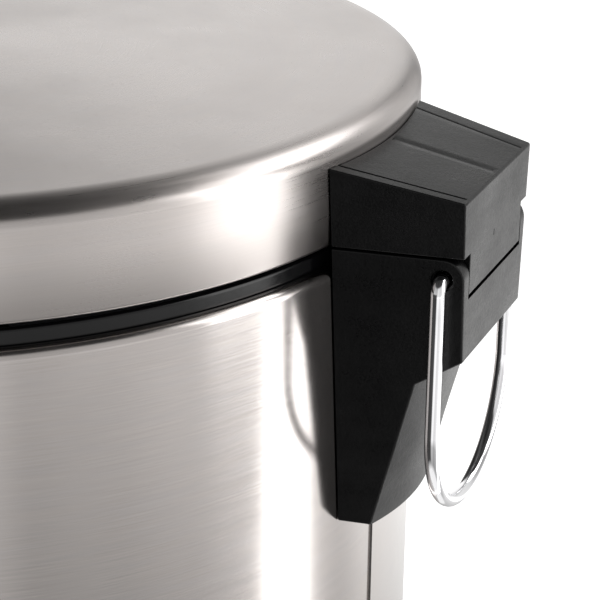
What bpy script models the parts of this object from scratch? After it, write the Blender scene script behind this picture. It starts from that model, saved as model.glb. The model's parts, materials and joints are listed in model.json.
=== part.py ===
"""Round pedal bin: a steel body and lid, hinged at the rear in a plastic block and bracket.

Metres, +Z up. The origin is on the floor, on the body's axis. The pedal is at the front (-Y).
The hinge and the carry handle are at the rear (+Y). Pressing the pedal tips a lever, which pushes
a cranked rod up the inside of the rear wall, and the rod turns the hinge block's crank.
"""

import math

import bmesh
import bpy
from mathutils import Matrix, Vector

MM = 0.001
GAP = 0.3 * MM
SEGMENTS = 48

# Body, lid and their sheet steel
BODY_RADIUS = 125.0 * MM
SHEET = 0.8 * MM
BODY_INNER = BODY_RADIUS - SHEET
HEIGHT = 400.0 * MM
LID_EDGE_Z = 373.0 * MM
LID_CREST_Z = LID_EDGE_Z + 25.3 * MM
LID_FOOT_Z = LID_EDGE_Z - 0.6 * MM
LID_EDGE_WIDTH = 9.0 * MM
LID_EDGE_DEPTH = 5.4 * MM
LID_EDGE_FULLNESS = 2.2
BODY_TOP_Z = 366.7 * MM
SHOULDER_RADIUS = 2.5 * MM
BODY_FOOT_Z = 14.3 * MM

# Top ring and bucket
RING_TOP_Z = 370.5 * MM
RING_RADIUS = 122.1 * MM
RING_BORE = 112.5 * MM
RING_NECK_Z = LID_EDGE_Z - 9.0 * MM
RING_SKIRT_Z = LID_EDGE_Z - 15.2 * MM
BUCKET_FOOT_Z = 50.0 * MM
BUCKET_FOOT_RADIUS = 97.0 * MM
BUCKET_MOUTH_RADIUS = 109.5 * MM
BUCKET_WALL = 1.6 * MM
BUCKET_RIM_RADIUS = 117.8 * MM
BUCKET_RIM_Z = RING_TOP_Z + GAP + BUCKET_WALL
BAIL_RADIUS = 116.2 * MM
BAIL_Z = BUCKET_RIM_Z + 1.9 * MM
BAIL_WIRE = 1.5 * MM
LUG_INNER_X = 111.0 * MM
LUG_OUTER_X = 114.0 * MM
LUG_HALF_WIDTH = 5.0 * MM

# Hinge: its axis runs along X through (HINGE_Y, HINGE_Z)
HINGE_Y = 147.5 * MM
HINGE_Z = LID_EDGE_Z - 6.0 * MM
REAR_Y = 152.4 * MM
PIN_RADIUS = 2.0 * MM
KNUCKLE_RADIUS = 4.9 * MM
KNUCKLE_FOOT_Z = HINGE_Z - 4.7 * MM
SEAT_RADIUS = 7.3 * MM
CHEEK_INNER_X = 19.5 * MM
HALF_WIDTH_AT_REAR = 23.05 * MM
HALF_WIDTH_REAR_Y = 155 * MM
SIDE_TAPER_UP = 0.066
SIDE_TAPER_BACK = 0.155
BLOCK_FOOT_Z = LID_EDGE_Z - 0.4 * MM
BLOCK_REAR_TOP_Z = LID_EDGE_Z + 13.2 * MM
BLOCK_TOP_SLOPE = 0.1776
BRACKET_TOP_Z = LID_EDGE_Z - 0.9 * MM
BRACKET_FOOT_Z = LID_EDGE_Z - 73.8 * MM
BRACKET_CREASE_Y = 141.5 * MM
BRACKET_CREASE_Z = LID_EDGE_Z - 33.7 * MM
BRACKET_REAR_FOOT_Z = LID_EDGE_Z - 26.6 * MM
BRACKET_BULGE = 4.0 * MM
BRACKET_BACK_FOOT_Y = 131.1 * MM
HINGE_FRONT_Y = 118.0 * MM
CAVITY_HALF_WIDTH = 8.5 * MM
SMALL_SCREW = 1.5 * MM
SMALL_SCREW_HEAD = 3.0 * MM
SHEET_BORE = 1.9 * MM
PLASTIC_BORE = 1.8 * MM
BRACKET_SCREW_X = 14.0 * MM
BRACKET_SCREW_Z = (LID_EDGE_Z - 24.0 * MM, LID_EDGE_Z - 58.0 * MM)
LID_SCREW_Z = LID_EDGE_Z + 9.0 * MM

# Linkage: the crank's pin lies CRANK_ARM from the hinge axis and swings evenly about the horizontal
LID_TRAVEL = math.radians(75.0)
CRANK_ARM = 16.0 * MM
CRANK_REST = LID_TRAVEL / 2
CRANK_PIN_Y = HINGE_Y - CRANK_ARM * math.cos(CRANK_REST)
CRANK_PIN_Z = HINGE_Z - CRANK_ARM * math.sin(CRANK_REST)
CRANK_PIN_NEAREST_Y = HINGE_Y - CRANK_ARM
ROD_TRAVEL = 2 * CRANK_ARM * math.sin(CRANK_REST)
LINK_PIN_RADIUS = 1.5 * MM
ROD_RADIUS = 2.0 * MM
ROD_HEAD_Y = (CRANK_PIN_Y + CRANK_PIN_NEAREST_Y) / 2
ROD_SHANK_Y = 115.8 * MM
ROD_JOG_TOP_Z = LID_EDGE_Z - 33.0 * MM
ROD_SLOT_HALF_WIDTH = 4.5 * MM
ROD_GUIDE_Z = (90.0 * MM, 200.0 * MM)

# Pedal lever: it tips evenly about the horizontal too
LEVER_PIVOT_Y = -20.0 * MM
LEVER_PIVOT_Z = 19.0 * MM
LEVER_REAR_ARM = 136.0 * MM
LEVER_REST = math.asin(ROD_TRAVEL / 2 / LEVER_REAR_ARM)
LEVER_WIDTH = 18.0 * MM
LEVER_THICKNESS = 3.0 * MM
TREAD_FRONT_Y = -REAR_Y
TREAD_REAR_Y = -128.0 * MM
TREAD_HALF_WIDTH = 32.0 * MM
TREAD_CURVE_RADIUS = 70.0 * MM
TREAD_FOOT = -4.5 * MM
TREAD_TOP = 5.5 * MM
TREAD_SCREW_FROM_FRONT = 12.0 * MM

# Base
BASE_RADIUS = 126.0 * MM
BASE_FOOT_Z = 3.0 * MM
BASE_SKIRT_RADIUS = 123.8 * MM
BASE_SKIRT_INNER = 121.5 * MM
BASE_FLANGE_INNER = 107.0 * MM
BASE_FLANGE_TOP_Z = 5.5 * MM
PLATE_Z = 40.0 * MM
PLATE_THICKNESS = 1.2 * MM
FOOT_CIRCLE_RADIUS = 114.0 * MM
FOOT_RADIUS = 6.5 * MM
STUD_RADIUS = 2.2 * MM
PEDAL_SLOT_HALF_WIDTH = 13.0 * MM
PEDAL_SLOT_Z = (8.0 * MM, 31.5 * MM)

# Carry handle
HANDLE_WIRE = 1.75 * MM
HANDLE_HALF_WIDTH = 26.8 * MM
HANDLE_LEG = 38.0 * MM

STEEL = ((0.62, 0.60, 0.57), 0.32, 1.0)
CHROME = ((0.80, 0.80, 0.80), 0.08, 1.0)
ZINC = ((0.55, 0.56, 0.58), 0.38, 1.0)
BLACK_PLASTIC = ((0.035, 0.035, 0.037), 0.5, 0.0)
GREY_PLASTIC = ((0.11, 0.11, 0.12), 0.45, 0.0)
RUBBER = ((0.03, 0.03, 0.03), 0.8, 0.0)


def start_scene():
    """Empty the scene and return the collections for the parts and for the cutters."""
    for obj in list(bpy.data.objects):
        bpy.data.objects.remove(obj, do_unlink=True)
    parts = bpy.data.collections.new("pedal_bin")
    cutters = bpy.data.collections.new("cutters")
    for collection in (parts, cutters):
        bpy.context.scene.collection.children.link(collection)
    return parts, cutters


PARTS, CUTTERS = start_scene()


def pivot(name, y, z):
    """An empty on a joint's axis, which runs along X."""
    empty = bpy.data.objects.new(name, None)
    empty.location = (0.0, y, z)
    empty.empty_display_size = 20 * MM
    PARTS.objects.link(empty)
    return empty


def as_part(obj, name, look, parent=None):
    """Name the object as a sub-part and give it its own material and, if it moves, its parent."""
    colour, roughness, metallic = look
    material = bpy.data.materials.new(name)
    material.use_nodes = True
    shader = material.node_tree.nodes["Principled BSDF"]
    shader.inputs["Base Color"].default_value = (*colour, 1.0)
    shader.inputs["Roughness"].default_value = roughness
    shader.inputs["Metallic"].default_value = metallic
    obj.name = name
    obj.data.name = name
    obj.data.materials.clear()
    obj.data.materials.append(material)
    PARTS.objects.link(obj)
    if parent is not None:
        obj.parent = parent
        obj.matrix_parent_inverse = Matrix.Translation(-parent.location)
    return obj


def as_tool(obj):
    """Keep the object as a Boolean's operand, out of the model."""
    obj.hide_render = True
    obj.display_type = "WIRE"
    CUTTERS.objects.link(obj)
    return obj


def combine(target, tool, operation):
    """Add a Boolean modifier to target and keep the tool as its operand."""
    modifier = target.modifiers.new(operation.lower(), "BOOLEAN")
    modifier.operation = operation
    modifier.solver = "EXACT"
    modifier.object = as_tool(tool)
    return target


def cut(target, *tools):
    for tool in tools:
        combine(target, tool, "DIFFERENCE")
    return target


def join(target, *tools):
    for tool in tools:
        combine(target, tool, "UNION")
    return target


def smooth_by_angle(mesh):
    mesh.shade_smooth()
    mesh.set_sharp_from_angle(angle=math.radians(35))


def evaluated_mesh(obj):
    """The object's mesh in world space, with its loose caps welded. The object is removed."""
    PARTS.objects.link(obj)
    graph = bpy.context.evaluated_depsgraph_get()
    mesh = bpy.data.meshes.new_from_object(obj.evaluated_get(graph))
    mesh.transform(obj.matrix_world)
    bpy.data.objects.remove(obj, do_unlink=True)
    shape = bmesh.new()
    shape.from_mesh(mesh)
    bmesh.ops.remove_doubles(shape, verts=shape.verts, dist=0.001 * MM)
    bmesh.ops.recalc_face_normals(shape, faces=shape.faces)
    shape.to_mesh(mesh)
    shape.free()
    smooth_by_angle(mesh)
    return mesh


def turned(profile, closed=True):
    """A (radius, z) profile turned about the Z axis. An open one starts and ends on the axis."""
    mesh = bpy.data.meshes.new("profile")
    count = len(profile)
    edges = [(i, (i + 1) % count) for i in range(count if closed else count - 1)]
    mesh.from_pydata([(radius, 0.0, z) for radius, z in profile], edges, [])
    obj = bpy.data.objects.new("turned", mesh)
    screw = obj.modifiers.new("turn", "SCREW")
    screw.axis = "Z"
    screw.steps = SEGMENTS
    screw.render_steps = SEGMENTS
    screw.use_merge_vertices = True
    screw.merge_threshold = 0.01 * MM
    return bpy.data.objects.new("turned", evaluated_mesh(obj))


def arc(centre, radius, start, end, steps):
    """Points on a circle's arc, from start to end in degrees."""
    points = []
    for i in range(steps + 1):
        angle = math.radians(start + (end - start) * i / steps)
        points.append((centre[0] + radius * math.cos(angle), centre[1] + radius * math.sin(angle)))
    return points


def box(low, high):
    """A block between two corners."""
    shape = bmesh.new()
    bmesh.ops.create_cube(shape, size=1.0)
    low, high = Vector(low), Vector(high)
    bmesh.ops.scale(shape, vec=high - low, verts=shape.verts)
    bmesh.ops.translate(shape, vec=(low + high) / 2, verts=shape.verts)
    mesh = bpy.data.meshes.new("box")
    shape.to_mesh(mesh)
    shape.free()
    return bpy.data.objects.new("box", mesh)


def cylinder(start, end, radius, segments=20):
    """A cylinder from start to end."""
    start, end = Vector(start), Vector(end)
    shape = bmesh.new()
    bmesh.ops.create_cone(
        shape,
        cap_ends=True,
        segments=segments,
        radius1=radius,
        radius2=radius,
        depth=(end - start).length,
    )
    turn = Vector((0, 0, 1)).rotation_difference(end - start).to_matrix().to_4x4()
    bmesh.ops.transform(shape, matrix=Matrix.Translation((start + end) / 2) @ turn, verts=shape.verts)
    mesh = bpy.data.meshes.new("cylinder")
    shape.to_mesh(mesh)
    shape.free()
    smooth_by_angle(mesh)
    return bpy.data.objects.new("cylinder", mesh)


def outline_curve(outline, half_thickness):
    """A flat outline, filled and extruded by half its thickness to each side."""
    curve = bpy.data.curves.new("outline", "CURVE")
    curve.dimensions = "2D"
    curve.fill_mode = "BOTH"
    curve.extrude = half_thickness
    spline = curve.splines.new("POLY")
    spline.points.add(len(outline) - 1)
    for point, (u, v) in zip(spline.points, outline):
        point.co = (u, v, 0.0, 1.0)
    spline.use_cyclic_u = True
    return bpy.data.objects.new("outline", curve)


def side_plate(outline, x_low, x_high):
    """An outline in (y, z), as thick as the stretch from x_low to x_high."""
    obj = outline_curve(outline, (x_high - x_low) / 2)
    axes = Matrix(((0, 0, 1, 0), (1, 0, 0, 0), (0, 1, 0, 0), (0, 0, 0, 1)))
    obj.matrix_world = Matrix.Translation(((x_low + x_high) / 2, 0, 0)) @ axes
    return bpy.data.objects.new("side_plate", evaluated_mesh(obj))


def floor_plate(outline, z_low, z_high):
    """An outline in (x, y), as thick as the stretch from z_low to z_high."""
    obj = outline_curve(outline, (z_high - z_low) / 2)
    obj.location = (0, 0, (z_low + z_high) / 2)
    return bpy.data.objects.new("floor_plate", evaluated_mesh(obj))


def rounded_path(corners, radius, steps):
    """The corners of a wire's path as points, with an arc of the radius in place of each bend."""
    corners = [Vector(corner) for corner in corners]
    points = [corners[0]]
    for before, corner, after in zip(corners, corners[1:], corners[2:]):
        back = (before - corner).normalized()
        ahead = (after - corner).normalized()
        half = back.angle(ahead) / 2
        centre = corner + (back + ahead).normalized() * radius / math.sin(half)
        first = corner + back * radius / math.tan(half) - centre
        last = corner + ahead * radius / math.tan(half) - centre
        turn = first.rotation_difference(last)
        for i in range(steps + 1):
            part_turn = turn.copy()
            part_turn.angle = turn.angle * i / steps
            points.append(centre + part_turn @ first)
    points.append(corners[-1])
    return points


def wire(points, radius):
    """A round wire along the points, as a curve object."""
    curve = bpy.data.curves.new("wire", "CURVE")
    curve.dimensions = "3D"
    curve.bevel_depth = radius
    curve.bevel_resolution = 2
    curve.use_fill_caps = True
    spline = curve.splines.new("POLY")
    spline.points.add(len(points) - 1)
    for point, place in zip(spline.points, points):
        point.co = (*place, 1.0)
    return bpy.data.objects.new("wire", curve)


def round_shell(radius):
    """A tall cutter of the body's and lid's outer surface, as facetted as they are."""
    return turned([(0.0, 420 * MM), (radius, 420 * MM), (radius, 250 * MM), (0.0, 250 * MM)], closed=False)


def hinge_half_width(y, z):
    """The hinge's sides taper a little towards the rear and towards the bottom."""
    narrowing = SIDE_TAPER_BACK * (y - HALF_WIDTH_REAR_Y)
    return HALF_WIDTH_AT_REAR + SIDE_TAPER_UP * (z - LID_EDGE_Z) - narrowing


def tapered_block(outline, bulge=None):
    """An outline in (y, z) whose two ends follow the hinge's tapering sides.

    bulge gives how far a point of the outline stands out to the rear at the block's middle.
    """
    stations = [-1.0, 1.0] if bulge is None else [i / 4 for i in range(-4, 5)]
    shape = bmesh.new()
    rings = []
    for station in stations:
        ring = []
        for y, z in outline:
            out = bulge(y, z) * (1 - station**2) if bulge else 0.0
            ring.append(shape.verts.new((station * hinge_half_width(y, z), y + out, z)))
        rings.append(ring)
    shape.faces.new(rings[0])
    shape.faces.new(rings[-1])
    for near, far in zip(rings, rings[1:]):
        for i in range(len(outline)):
            j = (i + 1) % len(outline)
            shape.faces.new((near[i], near[j], far[j], far[i]))
    bmesh.ops.triangulate(shape, faces=shape.faces)
    bmesh.ops.recalc_face_normals(shape, faces=shape.faces)
    mesh = bpy.data.meshes.new("tapered_block")
    shape.to_mesh(mesh)
    shape.free()
    smooth_by_angle(mesh)
    return bpy.data.objects.new("tapered_block", mesh)


def bracket_bulge(y, z):
    """The bracket's lower rear face is flat at its crease and rounds towards its foot."""
    if y < BRACKET_BACK_FOOT_Y - 1 * MM or z > BRACKET_CREASE_Z:
        return 0.0
    return BRACKET_BULGE * (BRACKET_CREASE_Z - z) / (BRACKET_CREASE_Z - BRACKET_FOOT_Z)


def screw(tip, head, shank_radius, head_radius, head_height):
    """A pan-head screw from its tip to the seat of its head."""
    tip, head = Vector(tip), Vector(head)
    axis = (head - tip).normalized()
    shank = cylinder(tip, head + axis * head_height / 2, shank_radius, 12)
    return join(shank, cylinder(head, head + axis * head_height, head_radius, 16))


def make_body():
    """The steel tube. Its top edge is rolled in over the plastic ring's shoulder."""
    mouth = BODY_RADIUS - SHOULDER_RADIUS
    shoulder_z = BODY_TOP_Z - SHOULDER_RADIUS
    profile = arc((mouth, shoulder_z), SHOULDER_RADIUS, 90, 0, 3)
    profile += [(BODY_RADIUS, BODY_FOOT_Z), (BODY_INNER, BODY_FOOT_Z)]
    profile += arc((mouth, shoulder_z), SHOULDER_RADIUS - SHEET, 0, 90, 3)
    body = turned(profile)
    slot_low = ROD_JOG_TOP_Z - 13.5 * MM
    slot_high = slot_low + ROD_TRAVEL + 9.5 * MM
    rod_slot = box((-ROD_SLOT_HALF_WIDTH, 110 * MM, slot_low), (ROD_SLOT_HALF_WIDTH, 140 * MM, slot_high))
    pedal_slot = box(
        (-PEDAL_SLOT_HALF_WIDTH, -140 * MM, 0), (PEDAL_SLOT_HALF_WIDTH, -100 * MM, PEDAL_SLOT_Z[1])
    )
    cut(body, rod_slot, pedal_slot)
    for x, z in bracket_screw_places():
        cut(body, cylinder((x, 110 * MM, z), (x, 140 * MM, z), SHEET_BORE, 12))
    return as_part(body, "outer_body", STEEL)


def make_top_ring():
    """The plastic ring in the body's mouth. Its wide lower part sits under the rolled shoulder."""
    ring = turned(
        [
            (RING_BORE, RING_TOP_Z),
            (RING_RADIUS - 0.8 * MM, RING_TOP_Z),
            (RING_RADIUS, RING_TOP_Z - 0.8 * MM),
            (RING_RADIUS, RING_NECK_Z),
            (BODY_INNER - GAP, RING_NECK_Z - 1.5 * MM),
            (BODY_INNER - GAP, RING_SKIRT_Z),
            (BODY_INNER - 3.0 * MM, RING_SKIRT_Z),
            (RING_BORE, RING_NECK_Z),
        ]
    )
    return as_part(ring, "top_rim_ring", BLACK_PLASTIC)


def make_base_ring():
    """The plastic ring that the body stands in, with a slot for the pedal lever at the front."""
    ring = turned(
        [
            (BASE_SKIRT_INNER, PLATE_Z - GAP),
            (BASE_SKIRT_RADIUS, PLATE_Z - GAP),
            (BASE_SKIRT_RADIUS, BODY_FOOT_Z - GAP),
            (BASE_RADIUS, BODY_FOOT_Z - GAP),
            (BASE_RADIUS, BASE_FOOT_Z + 1.0 * MM),
            (BASE_RADIUS - 1.0 * MM, BASE_FOOT_Z),
            (BASE_FLANGE_INNER, BASE_FOOT_Z),
            (BASE_FLANGE_INNER, BASE_FLANGE_TOP_Z),
            (BASE_SKIRT_INNER, BASE_FLANGE_TOP_Z),
        ]
    )
    pedal_slot = box(
        (-PEDAL_SLOT_HALF_WIDTH, -140 * MM, PEDAL_SLOT_Z[0]),
        (PEDAL_SLOT_HALF_WIDTH, -112 * MM, PEDAL_SLOT_Z[1]),
    )
    rod_notch = box((-9 * MM, 100 * MM, 0), (9 * MM, 121.2 * MM, BASE_FLANGE_TOP_Z + 1 * MM))
    cut(ring, pedal_slot, rod_notch)
    for x, y in foot_places():
        cut(ring, cylinder((x, y, 0), (x, y, 10 * MM), STUD_RADIUS + 0.4 * MM, 16))
    return as_part(ring, "base_ring", BLACK_PLASTIC)


def foot_places():
    """The feet's centres, at the corners of a square."""
    for quarter in range(4):
        angle = math.radians(45 + 90 * quarter)
        yield FOOT_CIRCLE_RADIUS * math.cos(angle), FOOT_CIRCLE_RADIUS * math.sin(angle)


def make_feet():
    """Rubber feet, each with a stud in the base ring's flange."""
    names = ("foot_rear_right", "foot_rear_left", "foot_front_left", "foot_front_right")
    for name, (x, y) in zip(names, foot_places()):
        foot = cylinder((x, y, 0), (x, y, BASE_FOOT_Z - GAP), FOOT_RADIUS)
        stud = cylinder((x, y, 1 * MM), (x, y, BASE_FLANGE_TOP_Z), STUD_RADIUS, 16)
        as_part(join(foot, stud), name, RUBBER)


def make_bottom_plate():
    """The steel disc above the base ring. The push rod and two screws pass through it."""
    radius = BODY_INNER - GAP
    top_z = PLATE_Z + PLATE_THICKNESS
    plate = turned([(0.0, top_z), (radius, top_z), (radius, PLATE_Z), (0.0, PLATE_Z)], closed=False)
    low_z, high_z = PLATE_Z - 5 * MM, top_z + 5 * MM
    cut(plate, cylinder((0, ROD_SHANK_Y, low_z), (0, ROD_SHANK_Y, high_z), 4 * MM))
    for y in pedal_bracket_screw_places():
        cut(plate, cylinder((0, y, low_z), (0, y, high_z), 2.3 * MM))
    return as_part(plate, "bottom_plate", ZINC)


def pedal_bracket_screw_places():
    """The y of each screw that holds the pedal bracket."""
    return LEVER_PIVOT_Y - 14 * MM, LEVER_PIVOT_Y + 14 * MM


def make_pedal_bracket():
    """A steel channel under the bottom plate whose cheeks hold the lever's pivot pin."""
    top_z = PLATE_Z - GAP
    front_y, rear_y = LEVER_PIVOT_Y - 20 * MM, LEVER_PIVOT_Y + 20 * MM
    cheek_low_z = LEVER_PIVOT_Z - 6 * MM
    bracket = box((-12.5 * MM, front_y, cheek_low_z), (12.5 * MM, rear_y, top_z))
    cut(
        bracket,
        box((-11 * MM, front_y - 1 * MM, 0), (11 * MM, rear_y + 1 * MM, top_z - 1.5 * MM)),
        cylinder(
            (-20 * MM, LEVER_PIVOT_Y, LEVER_PIVOT_Z),
            (20 * MM, LEVER_PIVOT_Y, LEVER_PIVOT_Z),
            PIN_RADIUS + GAP,
        ),
    )
    for y in pedal_bracket_screw_places():
        cut(bracket, cylinder((0, y, top_z - 4 * MM), (0, y, top_z + 4 * MM), 2.3 * MM))
    as_part(bracket, "pedal_bracket", ZINC)
    for name, y in zip(("front", "rear"), pedal_bracket_screw_places()):
        seat_z = top_z - 1.5 * MM - GAP
        fastener = screw((0, y, PLATE_Z + 5 * MM), (0, y, seat_z), 1.9 * MM, 3.4 * MM, 1.8 * MM)
        as_part(fastener, f"pedal_bracket_screw_{name}", ZINC)


def make_pedal_pivot():
    """The lever's pivot pin, with a head at one end and a clip at the other."""
    start = Vector((-16 * MM, LEVER_PIVOT_Y, LEVER_PIVOT_Z))
    pin = cylinder(start, start + Vector((31.5 * MM, 0, 0)), PIN_RADIUS, 16)
    head = cylinder(start + Vector((29 * MM, 0, 0)), start + Vector((31 * MM, 0, 0)), 3.6 * MM, 16)
    as_part(join(pin, head), "pedal_pivot_pin", ZINC)
    clip_low = start + Vector((2 * MM, 0, 0))
    clip_high = clip_low + Vector((1 * MM, 0, 0))
    clip = cylinder(clip_low, clip_high, 4.2 * MM, 16)
    cut(clip, cylinder(start, start + Vector((10 * MM, 0, 0)), PIN_RADIUS + GAP, 16))
    as_part(clip, "pedal_pin_clip", ZINC)


def make_pedal(lever_pivot):
    """The lever, modelled level about its pivot and then tipped to its rest angle, with its tread."""
    tip = Matrix.Translation((0, LEVER_PIVOT_Y, LEVER_PIVOT_Z)) @ Matrix.Rotation(-LEVER_REST, 4, "X")
    half_width, half_thickness = LEVER_WIDTH / 2, LEVER_THICKNESS / 2
    front_y = TREAD_FRONT_Y - LEVER_PIVOT_Y
    hole_y = front_y + TREAD_SCREW_FROM_FRONT
    bar = box(
        (-half_width, front_y + 5 * MM, -half_thickness),
        (half_width, LEVER_REAR_ARM - 12 * MM, half_thickness),
    )
    join(bar, cylinder((-10.5 * MM, 0, 0), (10.5 * MM, 0, 0), 4.5 * MM, 24))
    for side in (-1, 1):
        ear = arc((LEVER_REAR_ARM, 0), 4.5 * MM, -90, 90, 6)
        ear += [(LEVER_REAR_ARM - 18 * MM, 4.5 * MM), (LEVER_REAR_ARM - 24 * MM, 0.5 * MM)]
        ear += [(LEVER_REAR_ARM - 24 * MM, -0.5 * MM), (LEVER_REAR_ARM - 18 * MM, -4.5 * MM)]
        join(bar, side_plate(ear, min(side * 2.6, side * 5.4) * MM, max(side * 2.6, side * 5.4) * MM))
    cut(
        bar,
        cylinder((-20 * MM, 0, 0), (20 * MM, 0, 0), PIN_RADIUS + GAP, 16),
        cylinder(
            (-20 * MM, LEVER_REAR_ARM, 0), (20 * MM, LEVER_REAR_ARM, 0), LINK_PIN_RADIUS + GAP, 12
        ),
        cylinder((0, hole_y, -9 * MM), (0, hole_y, 9 * MM), 2.2 * MM, 12),
    )
    tread = make_tread(front_y)
    tread_screw = screw(
        (0, hole_y, 5 * MM),
        (0, hole_y, -5.4 * MM),
        1.8 * MM,
        3.4 * MM,
        1.6 * MM,
    )
    pin = cylinder((-7 * MM, LEVER_REAR_ARM, 0), (7 * MM, LEVER_REAR_ARM, 0), LINK_PIN_RADIUS, 12)
    pieces = (
        ("pedal_lever", bar, ZINC),
        ("pedal_tread", tread, BLACK_PLASTIC),
        ("pedal_tread_screw", tread_screw, ZINC),
        ("lever_link_pin", pin, ZINC),
    )
    for name, obj, look in pieces:
        obj.matrix_world = tip
        for modifier in obj.modifiers:
            modifier.object.matrix_world = tip @ modifier.object.matrix_world
            for inner in modifier.object.modifiers:
                inner.object.matrix_world = tip @ inner.object.matrix_world
        as_part(obj, name, look, lever_pivot)


def make_tread(front_y):
    """The tread's outline has a curved front. The lever's end sits in a pocket in its rear edge."""
    rear_y = TREAD_REAR_Y - LEVER_PIVOT_Y
    centre_y = front_y + TREAD_CURVE_RADIUS
    spread = math.degrees(math.asin(TREAD_HALF_WIDTH / TREAD_CURVE_RADIUS))
    outline = arc((0, centre_y), TREAD_CURVE_RADIUS, -90 - spread, -90 + spread, 8)
    outline += [(TREAD_HALF_WIDTH, rear_y), (-TREAD_HALF_WIDTH, rear_y)]
    tread = floor_plate(outline, TREAD_FOOT, TREAD_TOP)
    pocket = box(
        (-LEVER_WIDTH / 2 - GAP, front_y + 5 * MM - GAP, -LEVER_THICKNESS / 2 - GAP),
        (LEVER_WIDTH / 2 + GAP, rear_y + 5 * MM, LEVER_THICKNESS / 2 + GAP),
    )
    hole_y = front_y + TREAD_SCREW_FROM_FRONT
    return cut(tread, pocket, cylinder((0, hole_y, -9 * MM), (0, hole_y, 5.2 * MM), 2.2 * MM, 12))


def make_push_rod(rod_guide):
    """A cranked wire from the lever to the hinge. Each end is flattened into an eye."""
    foot_z = LEVER_PIVOT_Z - ROD_TRAVEL / 2
    jog = ROD_HEAD_Y - ROD_SHANK_Y
    corners = [
        (0, ROD_SHANK_Y, foot_z + 3.5 * MM),
        (0, ROD_SHANK_Y, ROD_JOG_TOP_Z - jog),
        (0, ROD_HEAD_Y, ROD_JOG_TOP_Z),
        (0, ROD_HEAD_Y, CRANK_PIN_Z - 3.5 * MM),
    ]
    rod = bpy.data.objects.new("rod", evaluated_mesh(wire(rounded_path(corners, 6 * MM, 4), ROD_RADIUS)))
    shift = ROD_HEAD_Y - CRANK_PIN_NEAREST_Y
    eye_bore = LINK_PIN_RADIUS + 0.6 * MM
    eye_radius = eye_bore + 2.6 * MM
    upper_eye = slot_outline((ROD_HEAD_Y, CRANK_PIN_Z), shift, eye_radius)
    upper_bore = slot_outline((ROD_HEAD_Y, CRANK_PIN_Z), shift, eye_bore)
    lower_eye = slot_outline((ROD_SHANK_Y, foot_z), 0.2 * MM, eye_radius)
    lower_bore = slot_outline((ROD_SHANK_Y, foot_z), 0.2 * MM, eye_bore)
    join(
        rod,
        side_plate(upper_eye, -1.6 * MM, 1.6 * MM),
        side_plate(lower_eye, -1.6 * MM, 1.6 * MM),
    )
    cut(rod, side_plate(upper_bore, -5 * MM, 5 * MM), side_plate(lower_bore, -5 * MM, 5 * MM))
    return as_part(rod, "push_rod", ZINC, rod_guide)


def slot_outline(centre, shift, radius):
    """A slot in (y, z) with round ends, which reaches shift to each side of the centre."""
    y, z = centre
    return arc((y + shift, z), radius, -90, 90, 6) + arc((y - shift, z), radius, 90, 270, 6)


def make_rod_guides():
    """Plastic guides on the inside of the rear wall. The rod slides in their bores."""
    for name, z in zip(("lower", "upper"), ROD_GUIDE_Z):
        guide = box((-7 * MM, 111.8 * MM, z - 5 * MM), (7 * MM, 130 * MM, z + 5 * MM))
        wall = turned(
            [
                (160 * MM, z + 10 * MM),
                (160 * MM, z - 10 * MM),
                (BODY_INNER - GAP, z - 10 * MM),
                (BODY_INNER - GAP, z + 10 * MM),
            ]
        )
        bore = cylinder((0, ROD_SHANK_Y, z - 9 * MM), (0, ROD_SHANK_Y, z + 9 * MM), ROD_RADIUS + 0.4 * MM)
        cut(guide, wall, bore)
        as_part(guide, f"rod_guide_{name}", BLACK_PLASTIC)


def bracket_screw_places():
    """The x and z of each screw that holds the hinge bracket."""
    for z in BRACKET_SCREW_Z:
        for x in (-BRACKET_SCREW_X, BRACKET_SCREW_X):
            yield x, z


def make_hinge_bracket():
    """The plastic bracket on the body: two cheeks, a seat for the knuckle and a shaft for the rod."""
    corner = arc((HINGE_Y, BRACKET_TOP_Z - KNUCKLE_RADIUS), REAR_Y - HINGE_Y, 0, 90, 5)
    outline = [
        (HINGE_FRONT_Y, BRACKET_FOOT_Z),
        (BRACKET_BACK_FOOT_Y, BRACKET_FOOT_Z),
        (BRACKET_CREASE_Y, BRACKET_CREASE_Z),
        (REAR_Y, BRACKET_REAR_FOOT_Z),
        *corner,
        (HINGE_FRONT_Y, BRACKET_TOP_Z),
    ]
    bracket = tapered_block(outline, bracket_bulge)
    above_z = LID_EDGE_Z + 5 * MM
    shaft = [
        (HINGE_FRONT_Y - 2 * MM, above_z),
        (HINGE_FRONT_Y - 2 * MM, BRACKET_FOOT_Z + 4 * MM),
        (BRACKET_BACK_FOOT_Y - 2.1 * MM, BRACKET_FOOT_Z + 4 * MM),
        (BRACKET_CREASE_Y - 2.7 * MM, BRACKET_CREASE_Z + 1.7 * MM),
        (REAR_Y - 3 * MM, BRACKET_REAR_FOOT_Z + 1.6 * MM),
        (REAR_Y - 3 * MM, above_z),
    ]
    cut(
        bracket,
        round_shell(BODY_RADIUS + GAP),
        side_plate(shaft, -CAVITY_HALF_WIDTH, CAVITY_HALF_WIDTH),
        cylinder(
            (-CHEEK_INNER_X, HINGE_Y, HINGE_Z), (CHEEK_INNER_X, HINGE_Y, HINGE_Z), SEAT_RADIUS, 32
        ),
        box(
            (-CHEEK_INNER_X, HINGE_Y - SEAT_RADIUS, HINGE_Z),
            (CHEEK_INNER_X, REAR_Y + 5 * MM, above_z),
        ),
        cylinder((-40 * MM, HINGE_Y, HINGE_Z), (40 * MM, HINGE_Y, HINGE_Z), PIN_RADIUS + GAP),
    )
    for x, z in bracket_screw_places():
        cut(bracket, cylinder((x, 115 * MM, z), (x, 132 * MM, z), PLASTIC_BORE, 12))
    return as_part(bracket, "hinge_bracket", BLACK_PLASTIC)


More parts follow.
